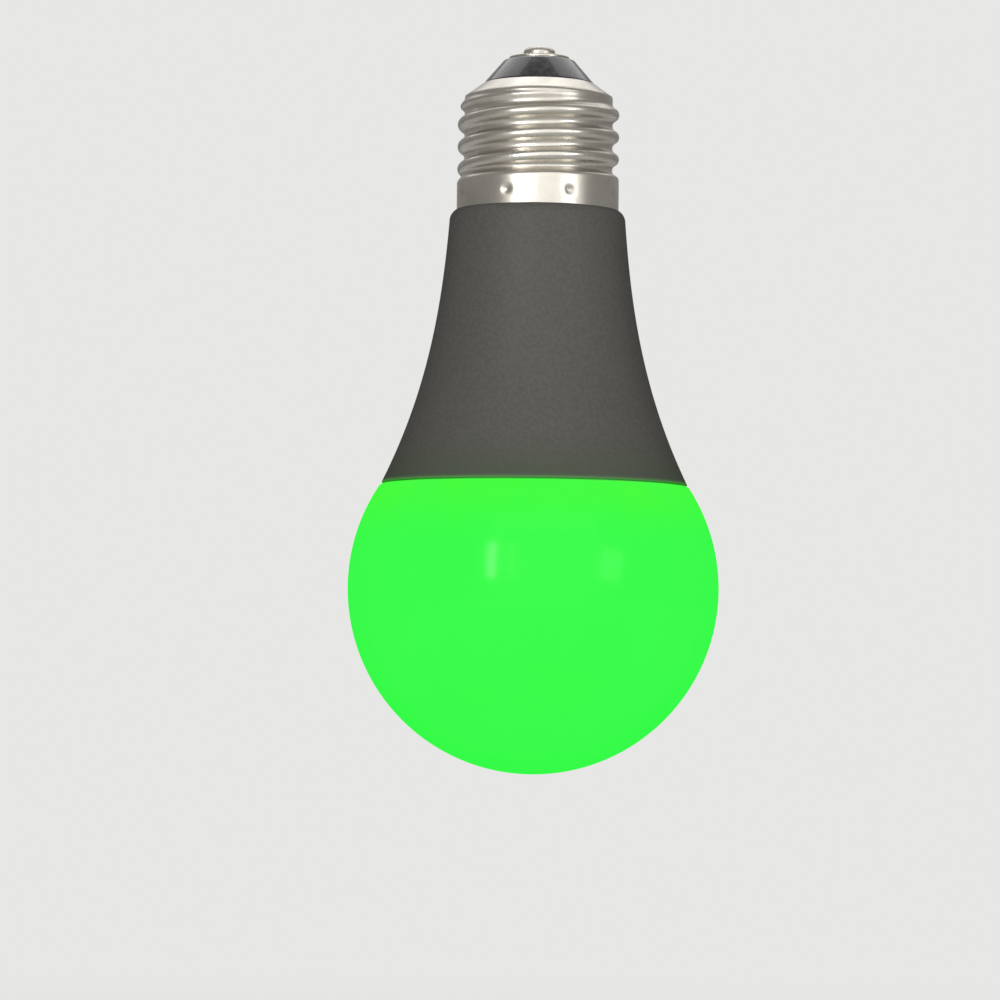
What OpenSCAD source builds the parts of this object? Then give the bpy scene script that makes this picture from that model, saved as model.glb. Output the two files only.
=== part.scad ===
// Smart LED light bulb: a round globe on a flared housing, with a screw cap.
// Millimetres. +Z runs up the bulb's axis to the cap, as the bulb hangs in a lampholder.
// The origin is the flat tip of the centre contact, so the bulb lies below z = 0.
// The driver board stands upright in the plane y = board_y, and its parts are on both faces.

/* [Globe] */
// Outer diameter of the globe
globe_d = 60; // [50:1:72]
// Wall of the globe
globe_wall = 1.2; // [0.8:0.1:2]
// Diameter of the seam where the globe meets the housing
joint_d = 49.6; // [41:0.1:59.9]
// Length of the globe's lip inside the housing
lip_length = 2.6; // [2:0.1:3.4]
// Wall of the globe's lip
lip_wall = 1.0; // [0.7:0.1:1.4]

/* [Housing] */
// Height of the housing, from the seam to its shoulder
housing_height = 44.4; // [37:0.1:56]
// Wall of the housing, measured across the axis
housing_wall = 1.6; // [1.2:0.1:2.2]
// Wall left around the housing's mouth
mouth_wall = 1.2; // [0.9:0.1:1.6]
// How far the housing's shoulder stands out past the cap
shoulder = 1.0; // [0.6:0.05:2]
// Radius of the shoulder's rounded edge, which turns in to the cap
shoulder_round = 2.0; // [0.4:0.1:2.5]

/* [Screw cap] */
// Length of the cap, from the housing's shoulder to the tip of the contact
cap_length = 26.7; // [22.2:0.1:32.1]
// Outer diameter of the thread
thread_d = 26.3; // [21.9:0.1:31.6]
// Depth of the thread
thread_depth = 1.1; // [0.8:0.05:1.3]
// Advance of the thread in one turn
thread_pitch = 3.629; // [3:0.001:4.4]
// Sheet that the shell is rolled from
shell_wall = 0.3; // [0.2:0.05:0.4]
// Height of the plain band at the open end of the shell
skirt_height = 4.4; // [3.6:0.1:5.4]

/* [LED board] */
// Thickness of the LED board
led_board_t = 1.0; // [0.8:0.1:1.6]
// Thickness of the aluminium plate behind the LED board
plate_t = 1.2; // [1:0.1:1.6]
// White LEDs in the outer ring, warm and cool in turn
white_leds = 16; // [12:2:18]
// Radius of the LED board's fixing screws
screw_r = 1.0; // [0.8:0.05:1.25]

/* [Driver] */
// Thickness of the driver board
board_t = 1.0; // [0.8:0.1:1.6]
// How far the radio board reaches past the LED board into the globe
antenna_reach = 6; // [4:0.5:8]
// Width of the radio board
radio_w = 12; // [10:0.5:14]

/* [Hidden] */
$fn = 72;

// Clearances
slip = 0.15;          // between shells that slide into each other
touch = 0.01;         // between a round part and the hole that it fills
lead_gap = 0.12;      // around a lead in its hole
board_gap = 0.4;      // from a board's edge to the wall beside it
part_gap = 0.8;       // between neighbouring parts on the driver board
cut = 1;              // how far a cutting shape runs past what it cuts

// The globe and the seam
globe_r = globe_d / 2;
joint_r = joint_d / 2;
joint_rise = sqrt(globe_r * globe_r - joint_r * joint_r);
shoulder_z = -cap_length;
joint_z = shoulder_z - housing_height;
globe_z = joint_z - joint_rise;

// The housing's outline: a straight taper blended into a flare that meets the globe
skirt_r = thread_d / 2;
neck_r = skirt_r + shoulder;
shoulder_turn = shoulder < shoulder_round ? acos(1 - shoulder / shoulder_round) : 90;
taper_share = 0.32;
flare_power = 2.55;
flare_steps = 24;
function flare(t) = taper_share * t + (1 - taper_share) * pow(t, flare_power);
function housing_r(z) = neck_r + (joint_r - neck_r) * flare((shoulder_z - z) / housing_height);
function bay_r(z) = housing_r(z) - housing_wall;
function steps_between(a, b, n) = [for (i = [0:n]) a + (b - a) * i / n];

// The stack in the mouth: globe lip, LED board, pad, plate
lip_gap = 0.3;
reveal = 0.2;
pad_t = 0.2;
lip_top_z = joint_z + lip_length;
lip_bore_r = housing_r(lip_top_z) - mouth_wall;
lip_r = lip_bore_r - slip;
led_board_z = lip_top_z + lip_gap;
pad_z = led_board_z + led_board_t;
plate_z = pad_z + pad_t;
plate_top_z = plate_z + plate_t;
board_bore_r = housing_r(plate_top_z) - mouth_wall;
disc_r = board_bore_r - slip;
web_t = globe_wall;
seal_size = 0.8;

// The shell and the neck that it grips
thread_root_r = skirt_r - thread_depth;
skirt_top_z = shoulder_z + skirt_height;
cone_height = 2.4;
cone_top_z = -cap_length * 0.225;
thread_top_z = cone_top_z - cone_height;
shell_mouth_r = thread_root_r * 0.745;
collar_r = skirt_r - shell_wall - slip;
collar_height = skirt_height - 0.7;
collar_ramp = 0.6;
neck_tube_r = thread_root_r - shell_wall - 0.2;
neck_wall = 1.75;
neck_bore_r = neck_tube_r - neck_wall;
neck_top_z = thread_top_z - 4.8;
stake_count = 8;
stake_r = 0.9;
stake_depth = 0.35;
stake_z = shoulder_z + 0.5 * skirt_height;
stake_wall = shell_wall + 0.02;
stake_centre_r = skirt_r + stake_r - stake_depth;
stake_first = 180 / stake_count;

// The heat sink cup inside the housing
cup_wall = 0.8;
bay_top_z = shoulder_z - housing_wall;
bay_height = bay_top_z - plate_top_z;
function cup_r(z) = bay_r(z) - slip;
cup_top_z = plate_top_z + 0.68 * bay_height;
function room_r(z) = z < cup_top_z ? cup_r(z) - cup_wall : bay_r(z);

// The LEDs
led_long = 3.5;
led_wide = 2.8;
led_t = 0.7;
lens_r = 1.1;
lens_t = 0.35;
white_ring_r = 0.81 * disc_r;
colour_ring_r = 0.575 * disc_r;
colour_places = 12;
screw_places = 3;
place_step = 360 / colour_places;
ring_turn = 90;
screw_head_r = 2.2 * screw_r;
screw_head_t = 1.4 * screw_r;
screw_reach = 2.1;
screw_boss_r = 1.9 * screw_r;
screw_boss_t = 1.6;
screw_hole_r = screw_r + 0.05;
screw_slot = [1.5 * screw_r, 0.4 * screw_r, 0.7 * screw_head_t];
screw_ease = 0.3;     // around a screw in the LED board
pad_margin = 0.6;     // from the thermal pad to the edges around it

// The driver board: rows of parts, from the LED end to the cap
board_y = 1.0;
board_back_y = board_y + board_t;
board_bottom_z = plate_top_z + 0.8;
fuse_length = 5;
fuse_tail = 1;
fuse_sleeve_past = 0.6;
fuse_top_z = neck_top_z - 1.4;
fuse_z = fuse_top_z - fuse_length;
board_top_z = fuse_z - fuse_sleeve_past - part_gap / 2;
strip_t = 2.2;
row_a_z = board_bottom_z + strip_t + 0.3;
row_b_z = row_a_z + 0.33 * (bay_top_z - row_a_z);
row_c_z = row_a_z + 0.68 * (bay_top_z - row_a_z);
room_a = room_r(row_b_z);
room_b = room_r(min(row_c_z, cup_top_z) - 0.1);
room_c = bay_r(bay_top_z);
function board_half(r) = sqrt(r * r - board_back_y * board_back_y) - board_gap;
rail_grip = 1.0;
rail_wall = 1.2;
lead_r = 0.3;
lead_past = 0.8;

// Header between the driver board and the LED board
pin_count = 5;
pin_pitch = 1.8;
pin_r = 0.3;
pin_y = -0.3;
pin_row = pin_pitch * (pin_count - 1);
pin_xs = [for (i = [0:pin_count - 1]) i * pin_pitch - pin_row / 2];
pin_bend_z = board_bottom_z + strip_t / 2;
strip_half = pin_row / 2 + 1.4;
strip_depth = 1.2;
socket_half = pin_row / 2 + 2;
socket_depth = 1.9;
socket_t = 3.2;
socket_floor = 0.6;
window_half = pin_row / 2 + 0.9;
window_y = 0.9;

// Radio board behind the driver board
radio_gap = 1.2;
radio_t = 0.8;
radio_y = board_back_y + radio_gap;
radio_face_y = radio_y + radio_t;
radio_bottom_z = led_board_z - antenna_reach;
radio_pin_pitch = (radio_w / 2 - 1.2) / 3;
radio_top_z = row_b_z - 0.4;
radio_pins_at = [for (i = [0:3]) [i * radio_pin_pitch, radio_top_z - 0.9]];
spacer_side = 0.8;
slot_gap = 0.25;
shield_t = 2.2;
shield_wall = 0.25;
shield_w = radio_w - 2;
shield_z = plate_top_z + 1.6;
shield_top_z = radio_top_z - 2;
track = 0.5;
track_t = 0.1;
track_margin = 0.6;
antenna_runs = 5;

// Parts on the front of the driver board
row_a_h = row_b_z - row_a_z - part_gap;
row_b_h = row_c_z - row_b_z - part_gap;
row_c_h = bay_top_z - row_c_z - part_gap;
transformer_w = 0.8 * room_a;
transformer_x = -0.31 * room_a;
transformer_d = 0.52 * room_a;
core_depth = 0.62 * transformer_d;
core_leg = 0.17 * transformer_w;
core_centre = 0.34 * transformer_w;
core_yoke = 0.18 * row_a_h;
bobbin_wall = 0.5;
core_y = board_y - 0.9 - transformer_d / 2;
flange_t = 1;
coil_z = [row_a_z + core_yoke + flange_t + 0.05, row_a_z + row_a_h - core_yoke - flange_t - 0.05];
bobbin_half = core_centre / 2 + 0.05 + bobbin_wall;
bobbin_depth = core_depth / 2 + 0.05 + bobbin_wall;
winding_t = 0.75;
output_d = 0.5 * room_a;
output_x = 0.46 * room_a;
bulk_d = 0.6 * room_b;
bulk_x = -0.36 * room_b;
film_w = 0.42 * room_b;
film_d = 0.34 * room_b;
film_x = 0.42 * room_b;
choke_d = 0.46 * room_c;
choke_x = -0.36 * room_c;
choke_y = board_y - 0.6 - choke_d / 2;
choke_flange = 0.12 * row_c_h;
choke_drum_r = 0.28 * choke_d;
choke_coil_r = 0.44 * choke_d;
varistor_d = 0.52 * room_c;
varistor_t = 2.6;
varistor_x = 0.36 * room_c;
varistor_y = board_y - 0.8;
sleeve_t = 0.25;

// Wires in the cap
wire_r = 0.4;
wire_y = board_y - wire_r;
wire_slack = 0.5;
groove_length = 8;
groove_gap = 0.35;    // between the bared wire and the bottom of its groove
solder_length = 2.5;
fuse_r = 1.4;
nail_r = 0.9;
nail_end_z = cone_top_z - 4.2;
nail_head_r = 2.6;
nail_flat_r = 1.6;
plate_contact_r = 4.9;
plate_contact_t = 0.6;
nail_head_t = 1.5;
plate_contact_z = -nail_head_t - plate_contact_t;
insulator_top_r = 5.7;
insulator_bottom_z = cone_top_z - 3.4;
insulator_r = shell_mouth_r + 0.6;
insulator_hole_r = nail_r + 0.05;

// ---------- helpers ----------

module block(x, y, z) {
    translate([x[0], y[0], z[0]]) cube([x[1] - x[0], y[1] - y[0], z[1] - z[0]]);
}

module ring(r_out, r_in, z, h) {
    translate([0, 0, z]) difference() {
        cylinder(r = r_out, h = h);
        translate([0, 0, -cut]) cylinder(r = r_in, h = h + 2 * cut);
    }
}

// A round bar along Y, such as a lead through the driver board
module bar_y(x, z, r, y0, y1) {
    translate([x, y1, z]) rotate([90, 0, 0]) cylinder(r = r, h = y1 - y0, $fn = 24);
}

module around(count, r, first = 0) {
    for (i = [0:count - 1]) rotate([0, 0, first + i * 360 / count]) translate([r, 0, 0]) children();
}

// Colour places that hold the named third of the coloured LEDs: 1 red, 2 green, 3 blue
module at_colour(which) {
    around(screw_places, colour_ring_r, ring_turn + which * place_step) children();
}

module at_screws() {
    around(screw_places, colour_ring_r, ring_turn) children();
}

// A round tube swept along points in the plane y = at_y; each point is [x, z]
module wire(points, r, at_y, sides = 8) {
    last = len(points) - 1;
    function heading(i) = let (d = points[min(i + 1, last)] - points[max(i - 1, 0)]) d / norm(d);
    rings = [for (i = [0:last], s = [0:sides - 1])
        let (h = heading(i), a = s * 360 / sides)
        [points[i][0] - h[1] * r * cos(a), at_y + r * sin(a), points[i][1] + h[0] * r * cos(a)]];
    sleeve = [for (i = [0:last - 1], s = [0:sides - 1])
        let (here = i * sides, next = here + sides, t = (s + 1) % sides)
        [here + s, next + s, next + t, here + t]];
    ends = [[for (s = [0:sides - 1]) s], [for (s = [sides - 1:-1:0]) last * sides + s]];
    polyhedron(points = rings, faces = concat(sleeve, ends));
}

// ---------- globe and housing ----------

module globe() {
    color("lime") difference() {
        union() {
            intersection() {
                translate([0, 0, globe_z]) sphere(r = globe_r);
                translate([0, 0, globe_z - globe_r - cut])
                    cylinder(r = globe_r + cut, h = globe_r + joint_rise - reveal + cut);
            }
            translate([0, 0, joint_z - web_t]) cylinder(r = lip_r, h = web_t + lip_length);
        }
        intersection() {
            translate([0, 0, globe_z]) sphere(r = globe_r - globe_wall);
            translate([0, 0, globe_z - globe_r]) cylinder(r = globe_r, h = globe_r + joint_rise - web_t);
        }
        translate([0, 0, joint_z - 2 * web_t]) cylinder(r = lip_r - lip_wall, h = lip_length + 3 * web_t);
    }
}

// Bead of silicone in the bevel of the housing's mouth
module globe_seal() {
    color("gainsboro") rotate_extrude()
        polygon([[lip_r + touch, joint_z - reveal], [lip_bore_r + seal_size - 2 * touch, joint_z - reveal],
                 [lip_bore_r + seal_size - 2 * touch, joint_z], [lip_r + touch, joint_z + seal_size]]);
}

module housing_shell() {
    round_z = shoulder_z - shoulder_round * sin(shoulder_turn);
    round_r = housing_r(round_z) - shoulder_round;
    rotate_extrude() polygon(concat(
        [for (z = steps_between(joint_z, round_z, flare_steps)) [housing_r(z), z]],
        [for (i = [1:6]) let (a = shoulder_turn * i / 6)
            [round_r + shoulder_round * cos(a), round_z + shoulder_round * sin(a)]],
        [[collar_r, shoulder_z], [collar_r, shoulder_z + collar_height],
         [neck_tube_r, shoulder_z + collar_height + collar_ramp], [neck_tube_r, neck_top_z],
         [neck_bore_r, neck_top_z], [neck_bore_r, bay_top_z]],
        [for (z = steps_between(bay_top_z, plate_top_z, flare_steps)) [bay_r(z), z]],
        [[board_bore_r, plate_top_z], [board_bore_r, lip_top_z],
         [lip_bore_r, lip_top_z], [lip_bore_r, joint_z + seal_size],
         [lip_bore_r + seal_size, joint_z]]));
}

// Rails on the wall of the bay that grip both edges of the driver board
module board_rails() {
    grip_x = board_half(room_c) - rail_grip;
    rail_z = [row_c_z + part_gap, bay_top_z];
    intersection() {
        for (side = [0, 1]) mirror([side, 0, 0]) difference() {
            block([grip_x, bay_r(rail_z[0])], [board_y - rail_wall, board_back_y + rail_wall], rail_z);
            block([grip_x - cut, board_half(room_c) + board_gap / 2],
                  [board_y - lead_gap, board_back_y + lead_gap], [rail_z[0] - cut, rail_z[1] + cut]);
        }
        rotate_extrude() polygon(concat(
            [for (z = steps_between(rail_z[0], bay_top_z, 6)) [bay_r(z) + housing_wall / 2, z]],
            [[0, bay_top_z], [0, rail_z[0]]]));
    }
}

module housing() {
    color("dimgray") difference() {
        union() {
            housing_shell();
            board_rails();
        }
        // seats for the shell's stakes
        around(stake_count, stake_centre_r, stake_first)
            translate([0, 0, stake_z]) sphere(r = stake_r + stake_wall + slip);
        // groove for the bared end of the neutral wire
        block([neck_tube_r - 2 * wire_r - groove_gap, neck_tube_r + cut],
              [wire_y - wire_r - lead_gap, wire_y + wire_r + lead_gap],
              [neck_top_z - groove_length, neck_top_z + cut]);
    }
}

// ---------- heat sink ----------

module heatsink_cup() {
    color("silver") rotate_extrude() polygon(concat(
        [for (z = steps_between(plate_top_z, cup_top_z, flare_steps)) [cup_r(z), z]],
        [for (z = steps_between(cup_top_z, plate_top_z, flare_steps)) [cup_r(z) - cup_wall, z]]));
}

// The windows that the header pins and the radio board pass through
module board_windows(z, h) {
    block([-window_half, window_half], [pin_y - window_y, pin_y + window_y], [z - cut, z + h + cut]);
    block([-radio_w / 2 - slot_gap, radio_w / 2 + slot_gap],
          [radio_y - slot_gap, radio_face_y + slot_gap], [z - cut, z + h + cut]);
}

module heatsink_plate() {
    color("silver") difference() {
        union() {
            translate([0, 0, plate_z]) cylinder(r = disc_r, h = plate_t);
            at_screws() translate([0, 0, plate_z]) cylinder(r = screw_boss_r, h = plate_t + screw_boss_t);
        }
        at_screws() translate([0, 0, plate_z - cut])
            cylinder(r = screw_hole_r, h = plate_t + screw_boss_t + 2 * cut);
        board_windows(plate_z, plate_t);
    }
}

module thermal_pad() {
    color("lightgray") difference() {
        translate([0, 0, pad_z]) cylinder(r = disc_r - pad_margin, h = pad_t);
        at_screws() translate([0, 0, pad_z - cut]) cylinder(r = screw_r + pad_margin, h = pad_t + 2 * cut);
        board_windows(pad_z, pad_t);
    }
}

// ---------- LED board ----------

module led_board() {
    color("white") difference() {
        translate([0, 0, led_board_z]) cylinder(r = disc_r, h = led_board_t);
        at_screws() translate([0, 0, led_board_z - cut])
            cylinder(r = screw_r + screw_ease, h = led_board_t + 2 * cut);
        board_windows(led_board_z, led_board_t);
    }
}

module led_package() {
    translate([0, 0, led_board_z - led_t]) difference() {
        translate([-led_wide / 2, -led_long / 2, 0]) cube([led_wide, led_long, led_t]);
        translate([0, 0, -cut]) cylinder(r = lens_r, h = lens_t + cut, $fn = 32);
    }
}

module led_lens() {
    translate([0, 0, led_board_z - led_t]) cylinder(r = lens_r, h = lens_t, $fn = 32);
}

module led_packages() {
    color("ivory") {
        around(white_leds, white_ring_r, 180 / white_leds) led_package();
        for (which = [1:3]) at_colour(which) led_package();
    }
}

module warm_phosphors() {
    color("orange") around(white_leds / 2, white_ring_r, 180 / white_leds) led_lens();
}

module cool_phosphors() {
    color("khaki") around(white_leds / 2, white_ring_r, 3 * 180 / white_leds) led_lens();
}

module red_chips() { color("red") at_colour(1) led_lens(); }
module green_chips() { color("lime") at_colour(2) led_lens(); }
module blue_chips() { color("blue") at_colour(3) led_lens(); }

module board_screws() {
    head_z = led_board_z - screw_head_t;
    color("silver") at_screws() difference() {
        union() {
            translate([0, 0, head_z]) cylinder(r1 = 0.8 * screw_head_r, r2 = screw_head_r, h = screw_head_t);
            translate([0, 0, led_board_z]) cylinder(r = screw_r, h = plate_top_z + screw_reach - led_board_z);
        }
        for (turn = [0, 90]) rotate([0, 0, turn])
            block([-screw_slot[0], screw_slot[0]], [-screw_slot[1], screw_slot[1]],
                  [head_z - cut, head_z + screw_slot[2]]);
    }
}

// ---------- header ----------

module board_socket() {
    color("dimgray") difference() {
        block([-socket_half, socket_half], [pin_y - socket_depth, pin_y + socket_depth],
              [led_board_z - socket_t, led_board_z]);
        for (x = pin_xs) translate([x, pin_y, led_board_z - socket_t + socket_floor])
            cylinder(r = pin_r + lead_gap, h = socket_t, $fn = 24);
    }
}

module header_strip() {
    color("black") difference() {
        block([-strip_half, strip_half], [pin_y - strip_depth, board_y],
              [board_bottom_z, board_bottom_z + strip_t]);
        for (x = pin_xs) {
            translate([x, pin_y, board_bottom_z - cut])
                cylinder(r = pin_r + touch, h = strip_t / 2 + pin_r + cut, $fn = 24);
            bar_y(x, pin_bend_z, pin_r + touch, pin_y, board_y + cut);
        }
    }
}

// Bent pins: down through the windows into the socket, and back through the driver board
module header_pins() {
    foot_z = led_board_z - socket_t + socket_floor + 2 * touch;
    color("gold") for (x = pin_xs) {
        translate([x, pin_y, foot_z]) cylinder(r = pin_r, h = pin_bend_z - foot_z, $fn = 24);
        bar_y(x, pin_bend_z, pin_r, pin_y, board_back_y + lead_past);
        translate([x, pin_y, pin_bend_z]) sphere(r = pin_r, $fn = 24);
    }
}

// ---------- driver board ----------

// Where leads cross the driver board: [x, z]
transformer_leads = [for (x = [-0.24, 0.24], z = [coil_z[0] - flange_t / 2, coil_z[1] + flange_t / 2])
    [transformer_x + x * transformer_w, z]];
output_leads = [for (x = [-1.25, 1.25]) [output_x + x, row_a_z + lead_r]];
bulk_leads = [for (x = [-1.75, 1.75]) [bulk_x + x, row_b_z + lead_r]];
film_leads = [for (z = [0.16, 0.84]) [film_x, row_b_z + z * row_b_h]];
choke_leads = [for (z = [0.06, 0.94]) [choke_x, row_c_z + z * row_c_h]];
varistor_leads = [for (z = [0.2, 0.8]) [varistor_x, row_c_z + z * row_c_h]];
header_leads = [for (x = pin_xs) [x, pin_bend_z]];
all_leads = concat(transformer_leads, output_leads, bulk_leads, film_leads,
                   choke_leads, varistor_leads, header_leads);

module leads(places, from_y) {
    for (p = places) bar_y(p[0], p[1], lead_r, from_y, board_back_y + lead_past);
}

// Cones of solder around the leads on the board's back
module solder_joints() {
    color("silver") for (p = all_leads)
        translate([p[0], board_back_y, p[1]]) rotate([-90, 0, 0]) difference() {
            cylinder(r1 = 2.1 * lead_r, r2 = 1.25 * lead_r, h = 0.8 * lead_past, $fn = 24);
            translate([0, 0, -cut]) cylinder(r = lead_r + touch, h = lead_past + 2 * cut, $fn = 24);
        }
}

module driver_board() {
    // each stretch is as wide as the room around it: half-width, bottom, top
    stretches = [[board_half(room_a), board_bottom_z, row_b_z],
                 [board_half(room_b), row_b_z, row_c_z],
                 [board_half(room_c), row_c_z, bay_top_z - board_gap],
                 [board_half(neck_bore_r), row_c_z, board_top_z]];
    color("darkgreen") difference() {
        union() {
            for (s = stretches) block([-s[0], s[0]], [board_y, board_back_y], [s[1], s[2]]);
        }
        for (p = concat(all_leads, radio_pins_at))
            bar_y(p[0], p[1], lead_r + lead_gap, board_y - cut, board_back_y + cut);
    }
}

// ---------- radio ----------

module radio_board() {
    color("navy") difference() {
        block([-radio_w / 2, radio_w / 2], [radio_y, radio_face_y], [radio_bottom_z, radio_top_z]);
        for (p = radio_pins_at) bar_y(p[0], p[1], lead_r + lead_gap, radio_y - cut, radio_face_y + cut);
    }
}

module radio_spacer() {
    color("black") difference() {
        block([-spacer_side, 3 * radio_pin_pitch + spacer_side], [board_back_y, radio_y],
              [radio_pins_at[0][1] - spacer_side, radio_pins_at[0][1] + spacer_side]);
        for (p = radio_pins_at) bar_y(p[0], p[1], lead_r + touch, board_back_y - cut, radio_y + cut);
    }
}

module radio_pins() {
    color("gold") for (p = radio_pins_at) bar_y(p[0], p[1], lead_r, board_y - 0.3, radio_face_y + lead_past);
}

module radio_shield() {
    half = shield_w / 2;
    color("silver") difference() {
        block([-half, half], [radio_face_y, radio_face_y + shield_t], [shield_z, shield_top_z]);
        block([-half + shield_wall, half - shield_wall],
              [radio_face_y - cut, radio_face_y + shield_t - shield_wall],
              [shield_z + shield_wall, shield_top_z - shield_wall]);
    }
}

// Meander of copper on the part of the radio board that stands in the globe
module radio_antenna() {
    span = radio_w - 5 * track_margin;
    step = (span - track) / (antenna_runs - 1);
    z = [radio_bottom_z + track_margin, led_board_z - 2];
    face = [radio_face_y, radio_face_y + track_t];
    color("orange") union() {
        for (i = [0:antenna_runs - 1]) translate([i * step - span / 2, 0, 0]) block([0, track], face, z);
        for (i = [0:antenna_runs - 2]) translate([i * step - span / 2, 0, i % 2 == 0 ? z[0] : z[1] - track])
            block([0, step + track], face, [0, track]);
    }
}

// ---------- transformer ----------

// Two E-shaped ferrite halves, which meet at mid-height
module transformer_core() {
    half = transformer_w / 2;
    y = [core_y - core_depth / 2, core_y + core_depth / 2];
    mid_z = row_a_z + row_a_h / 2;
    color("dimgray") for (z = [[row_a_z, mid_z], [mid_z, row_a_z + row_a_h]])
        translate([transformer_x, 0, 0]) difference() {
            block([-half, half], y, z);
            for (side = [0, 1]) mirror([side, 0, 0])
                block([core_centre / 2, half - core_leg], [y[0] - cut, y[1] + cut],
                      [row_a_z + core_yoke, row_a_z + row_a_h - core_yoke]);
        }
}

module spool_block(x_half, y_half, z) {
    translate([transformer_x, core_y, 0]) block([-x_half, x_half], [-y_half, y_half], z);
}

module transformer_bobbin() {
    flange_half = transformer_w / 2 - core_leg - 0.05;
    color("black") difference() {
        union() {
            spool_block(bobbin_half, bobbin_depth, coil_z);
            for (z = [coil_z[0] - flange_t, coil_z[1]])
                spool_block(flange_half, transformer_d / 2, [z, z + flange_t]);
            leads(transformer_leads, core_y + transformer_d / 2 - 1);
        }
        spool_block(bobbin_half - bobbin_wall, bobbin_depth - bobbin_wall,
                    [coil_z[0] - flange_t - cut, coil_z[1] + flange_t + cut]);
    }
}

module transformer_winding() {
    color("gold") difference() {
        spool_block(bobbin_half + winding_t, transformer_d / 2 - 0.5, coil_z);
        spool_block(bobbin_half, bobbin_depth, [coil_z[0] - cut, coil_z[1] + cut]);
    }
}

// ---------- other through-hole parts ----------

// An electrolytic capacitor on its side: can along Z, leads bent back through the board
module can(x, d, z, h) {
    translate([x, board_y - d / 2 - sleeve_t, z]) cylinder(r = d / 2, h = h);
}

module can_with_leads(x, d, z, h, places) {
    can_y = board_y - d / 2 - sleeve_t;
    color("silver") union() {
        difference() {
            can(x, d, z, h);
            for (turn = [45, 135]) translate([x, can_y, z + h - 0.2]) rotate([0, 0, turn])
                translate([-0.3 * d, -0.15, 0]) cube([0.6 * d, 0.3, 1]);
        }
        for (p = places) {
            translate([p[0], can_y, p[1]]) cylinder(r = lead_r, h = z - p[1] + 0.5, $fn = 24);
            translate([p[0], can_y, p[1]]) sphere(r = lead_r, $fn = 24);
        }
        leads(places, can_y);
    }
}

module can_sleeve(x, d, z, h) {
    can_y = board_y - d / 2 - sleeve_t;
    color("darkslategray") translate([x, can_y, z]) difference() {
        cylinder(r = d / 2 + sleeve_t, h = h - 0.3);
        translate([0, 0, -cut]) cylinder(r = d / 2 + touch, h = h + 2 * cut);
    }
}

module output_capacitor() {
    can_with_leads(output_x, output_d, row_a_z + part_gap, row_a_h - part_gap, output_leads);
}
module output_capacitor_sleeve() {
    can_sleeve(output_x, output_d, row_a_z + part_gap, row_a_h - part_gap);
}
module bulk_capacitor() {
    can_with_leads(bulk_x, bulk_d, row_b_z + part_gap, row_b_h - part_gap, bulk_leads);
}
module bulk_capacitor_sleeve() {
    can_sleeve(bulk_x, bulk_d, row_b_z + part_gap, row_b_h - part_gap);
}

module film_capacitor() {
    foot_y = board_y - 0.5;
    color("firebrick") union() {
        block([film_x - film_w / 2, film_x + film_w / 2], [foot_y - film_d, foot_y],
              [row_b_z + 0.05 * row_b_h, row_b_z + 0.95 * row_b_h]);
        leads(film_leads, foot_y - 1);
    }
}

// Drum core lying along Z
module choke_core() {
    color("dimgray") union() {
        for (z = [row_c_z, row_c_z + row_c_h - choke_flange])
            translate([choke_x, choke_y, z]) cylinder(r = choke_d / 2, h = choke_flange);
        translate([choke_x, choke_y, row_c_z]) cylinder(r = choke_drum_r, h = row_c_h);
        leads(choke_leads, choke_y);
    }
}

module choke_winding() {
    color("sienna") translate([choke_x, choke_y, 0])
        ring(choke_coil_r, choke_drum_r, row_c_z + choke_flange, row_c_h - 2 * choke_flange);
}

module varistor() {
    color("royalblue") union() {
        translate([varistor_x, varistor_y, row_c_z + row_c_h / 2]) rotate([90, 0, 0])
            cylinder(r = varistor_d / 2, h = varistor_t);
        leads(varistor_leads, varistor_y - varistor_t / 2);
    }
}

// ---------- chips on the back of the driver board ----------

// A flat package on the driver board's back, with gull-wing leads on two sides
module chip(x, z, size, pins, pitch) {
    half_pin = [-0.2, 0.2];
    pin_t = 0.2;
    lift = 0.15;
    knee_y = board_back_y + 0.65;
    translate([x, 0, z]) union() {
        block([-size[0] / 2, size[0] / 2], [board_back_y + lift, board_back_y + lift + size[1]],
              [-size[2] / 2, size[2] / 2]);
        for (side = [0, 1], i = [0:pins - 1]) mirror([side, 0, 0])
            translate([size[0] / 2, 0, (i - (pins - 1) / 2) * pitch]) {
                block([-0.1, 0.5], [knee_y - pin_t, knee_y], half_pin);
                block([0.5 - pin_t, 0.5], [board_back_y, knee_y], half_pin);
                block([0.5 - pin_t, 1.2], [board_back_y, board_back_y + pin_t], half_pin);
            }
    }
}

chip_z = row_b_z + 0.5 * (row_c_z - row_b_z);
module led_driver_chip() { color("black") chip(-0.33 * room_b, chip_z, [3.9, 1.4, 4.9], 4, 1.27); }
module supply_chip() { color("black") chip(0.38 * room_b, chip_z, [2.8, 1.2, 2.9], 3, 0.95); }
module rectifier() { color("black") chip(0, row_c_z + 0.5 * row_c_h, [4.6, 1.5, 4.9], 2, 2.5); }

// Small two-ended parts in a line across the board, on the back
module chip_line(count, x_half, z, size) {
    for (i = [0:count - 1]) translate([x_half * (2 * i / (count - 1) - 1), board_back_y, z])
        block([-size[0] / 2, size[0] / 2], [0, size[1]], [-size[2] / 2, size[2] / 2]);
}

module chip_resistors() {
    color("black") chip_line(4, 0.62 * room_c, row_c_z - part_gap / 2, [1.25, 0.55, 2]);
}
module chip_capacitors() {
    color("tan") chip_line(4, 0.5 * neck_bore_r, bay_top_z + 0.4 * (board_top_z - bay_top_z), [1.25, 0.9, 2]);
}

// ---------- cap and its wires ----------

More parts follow.
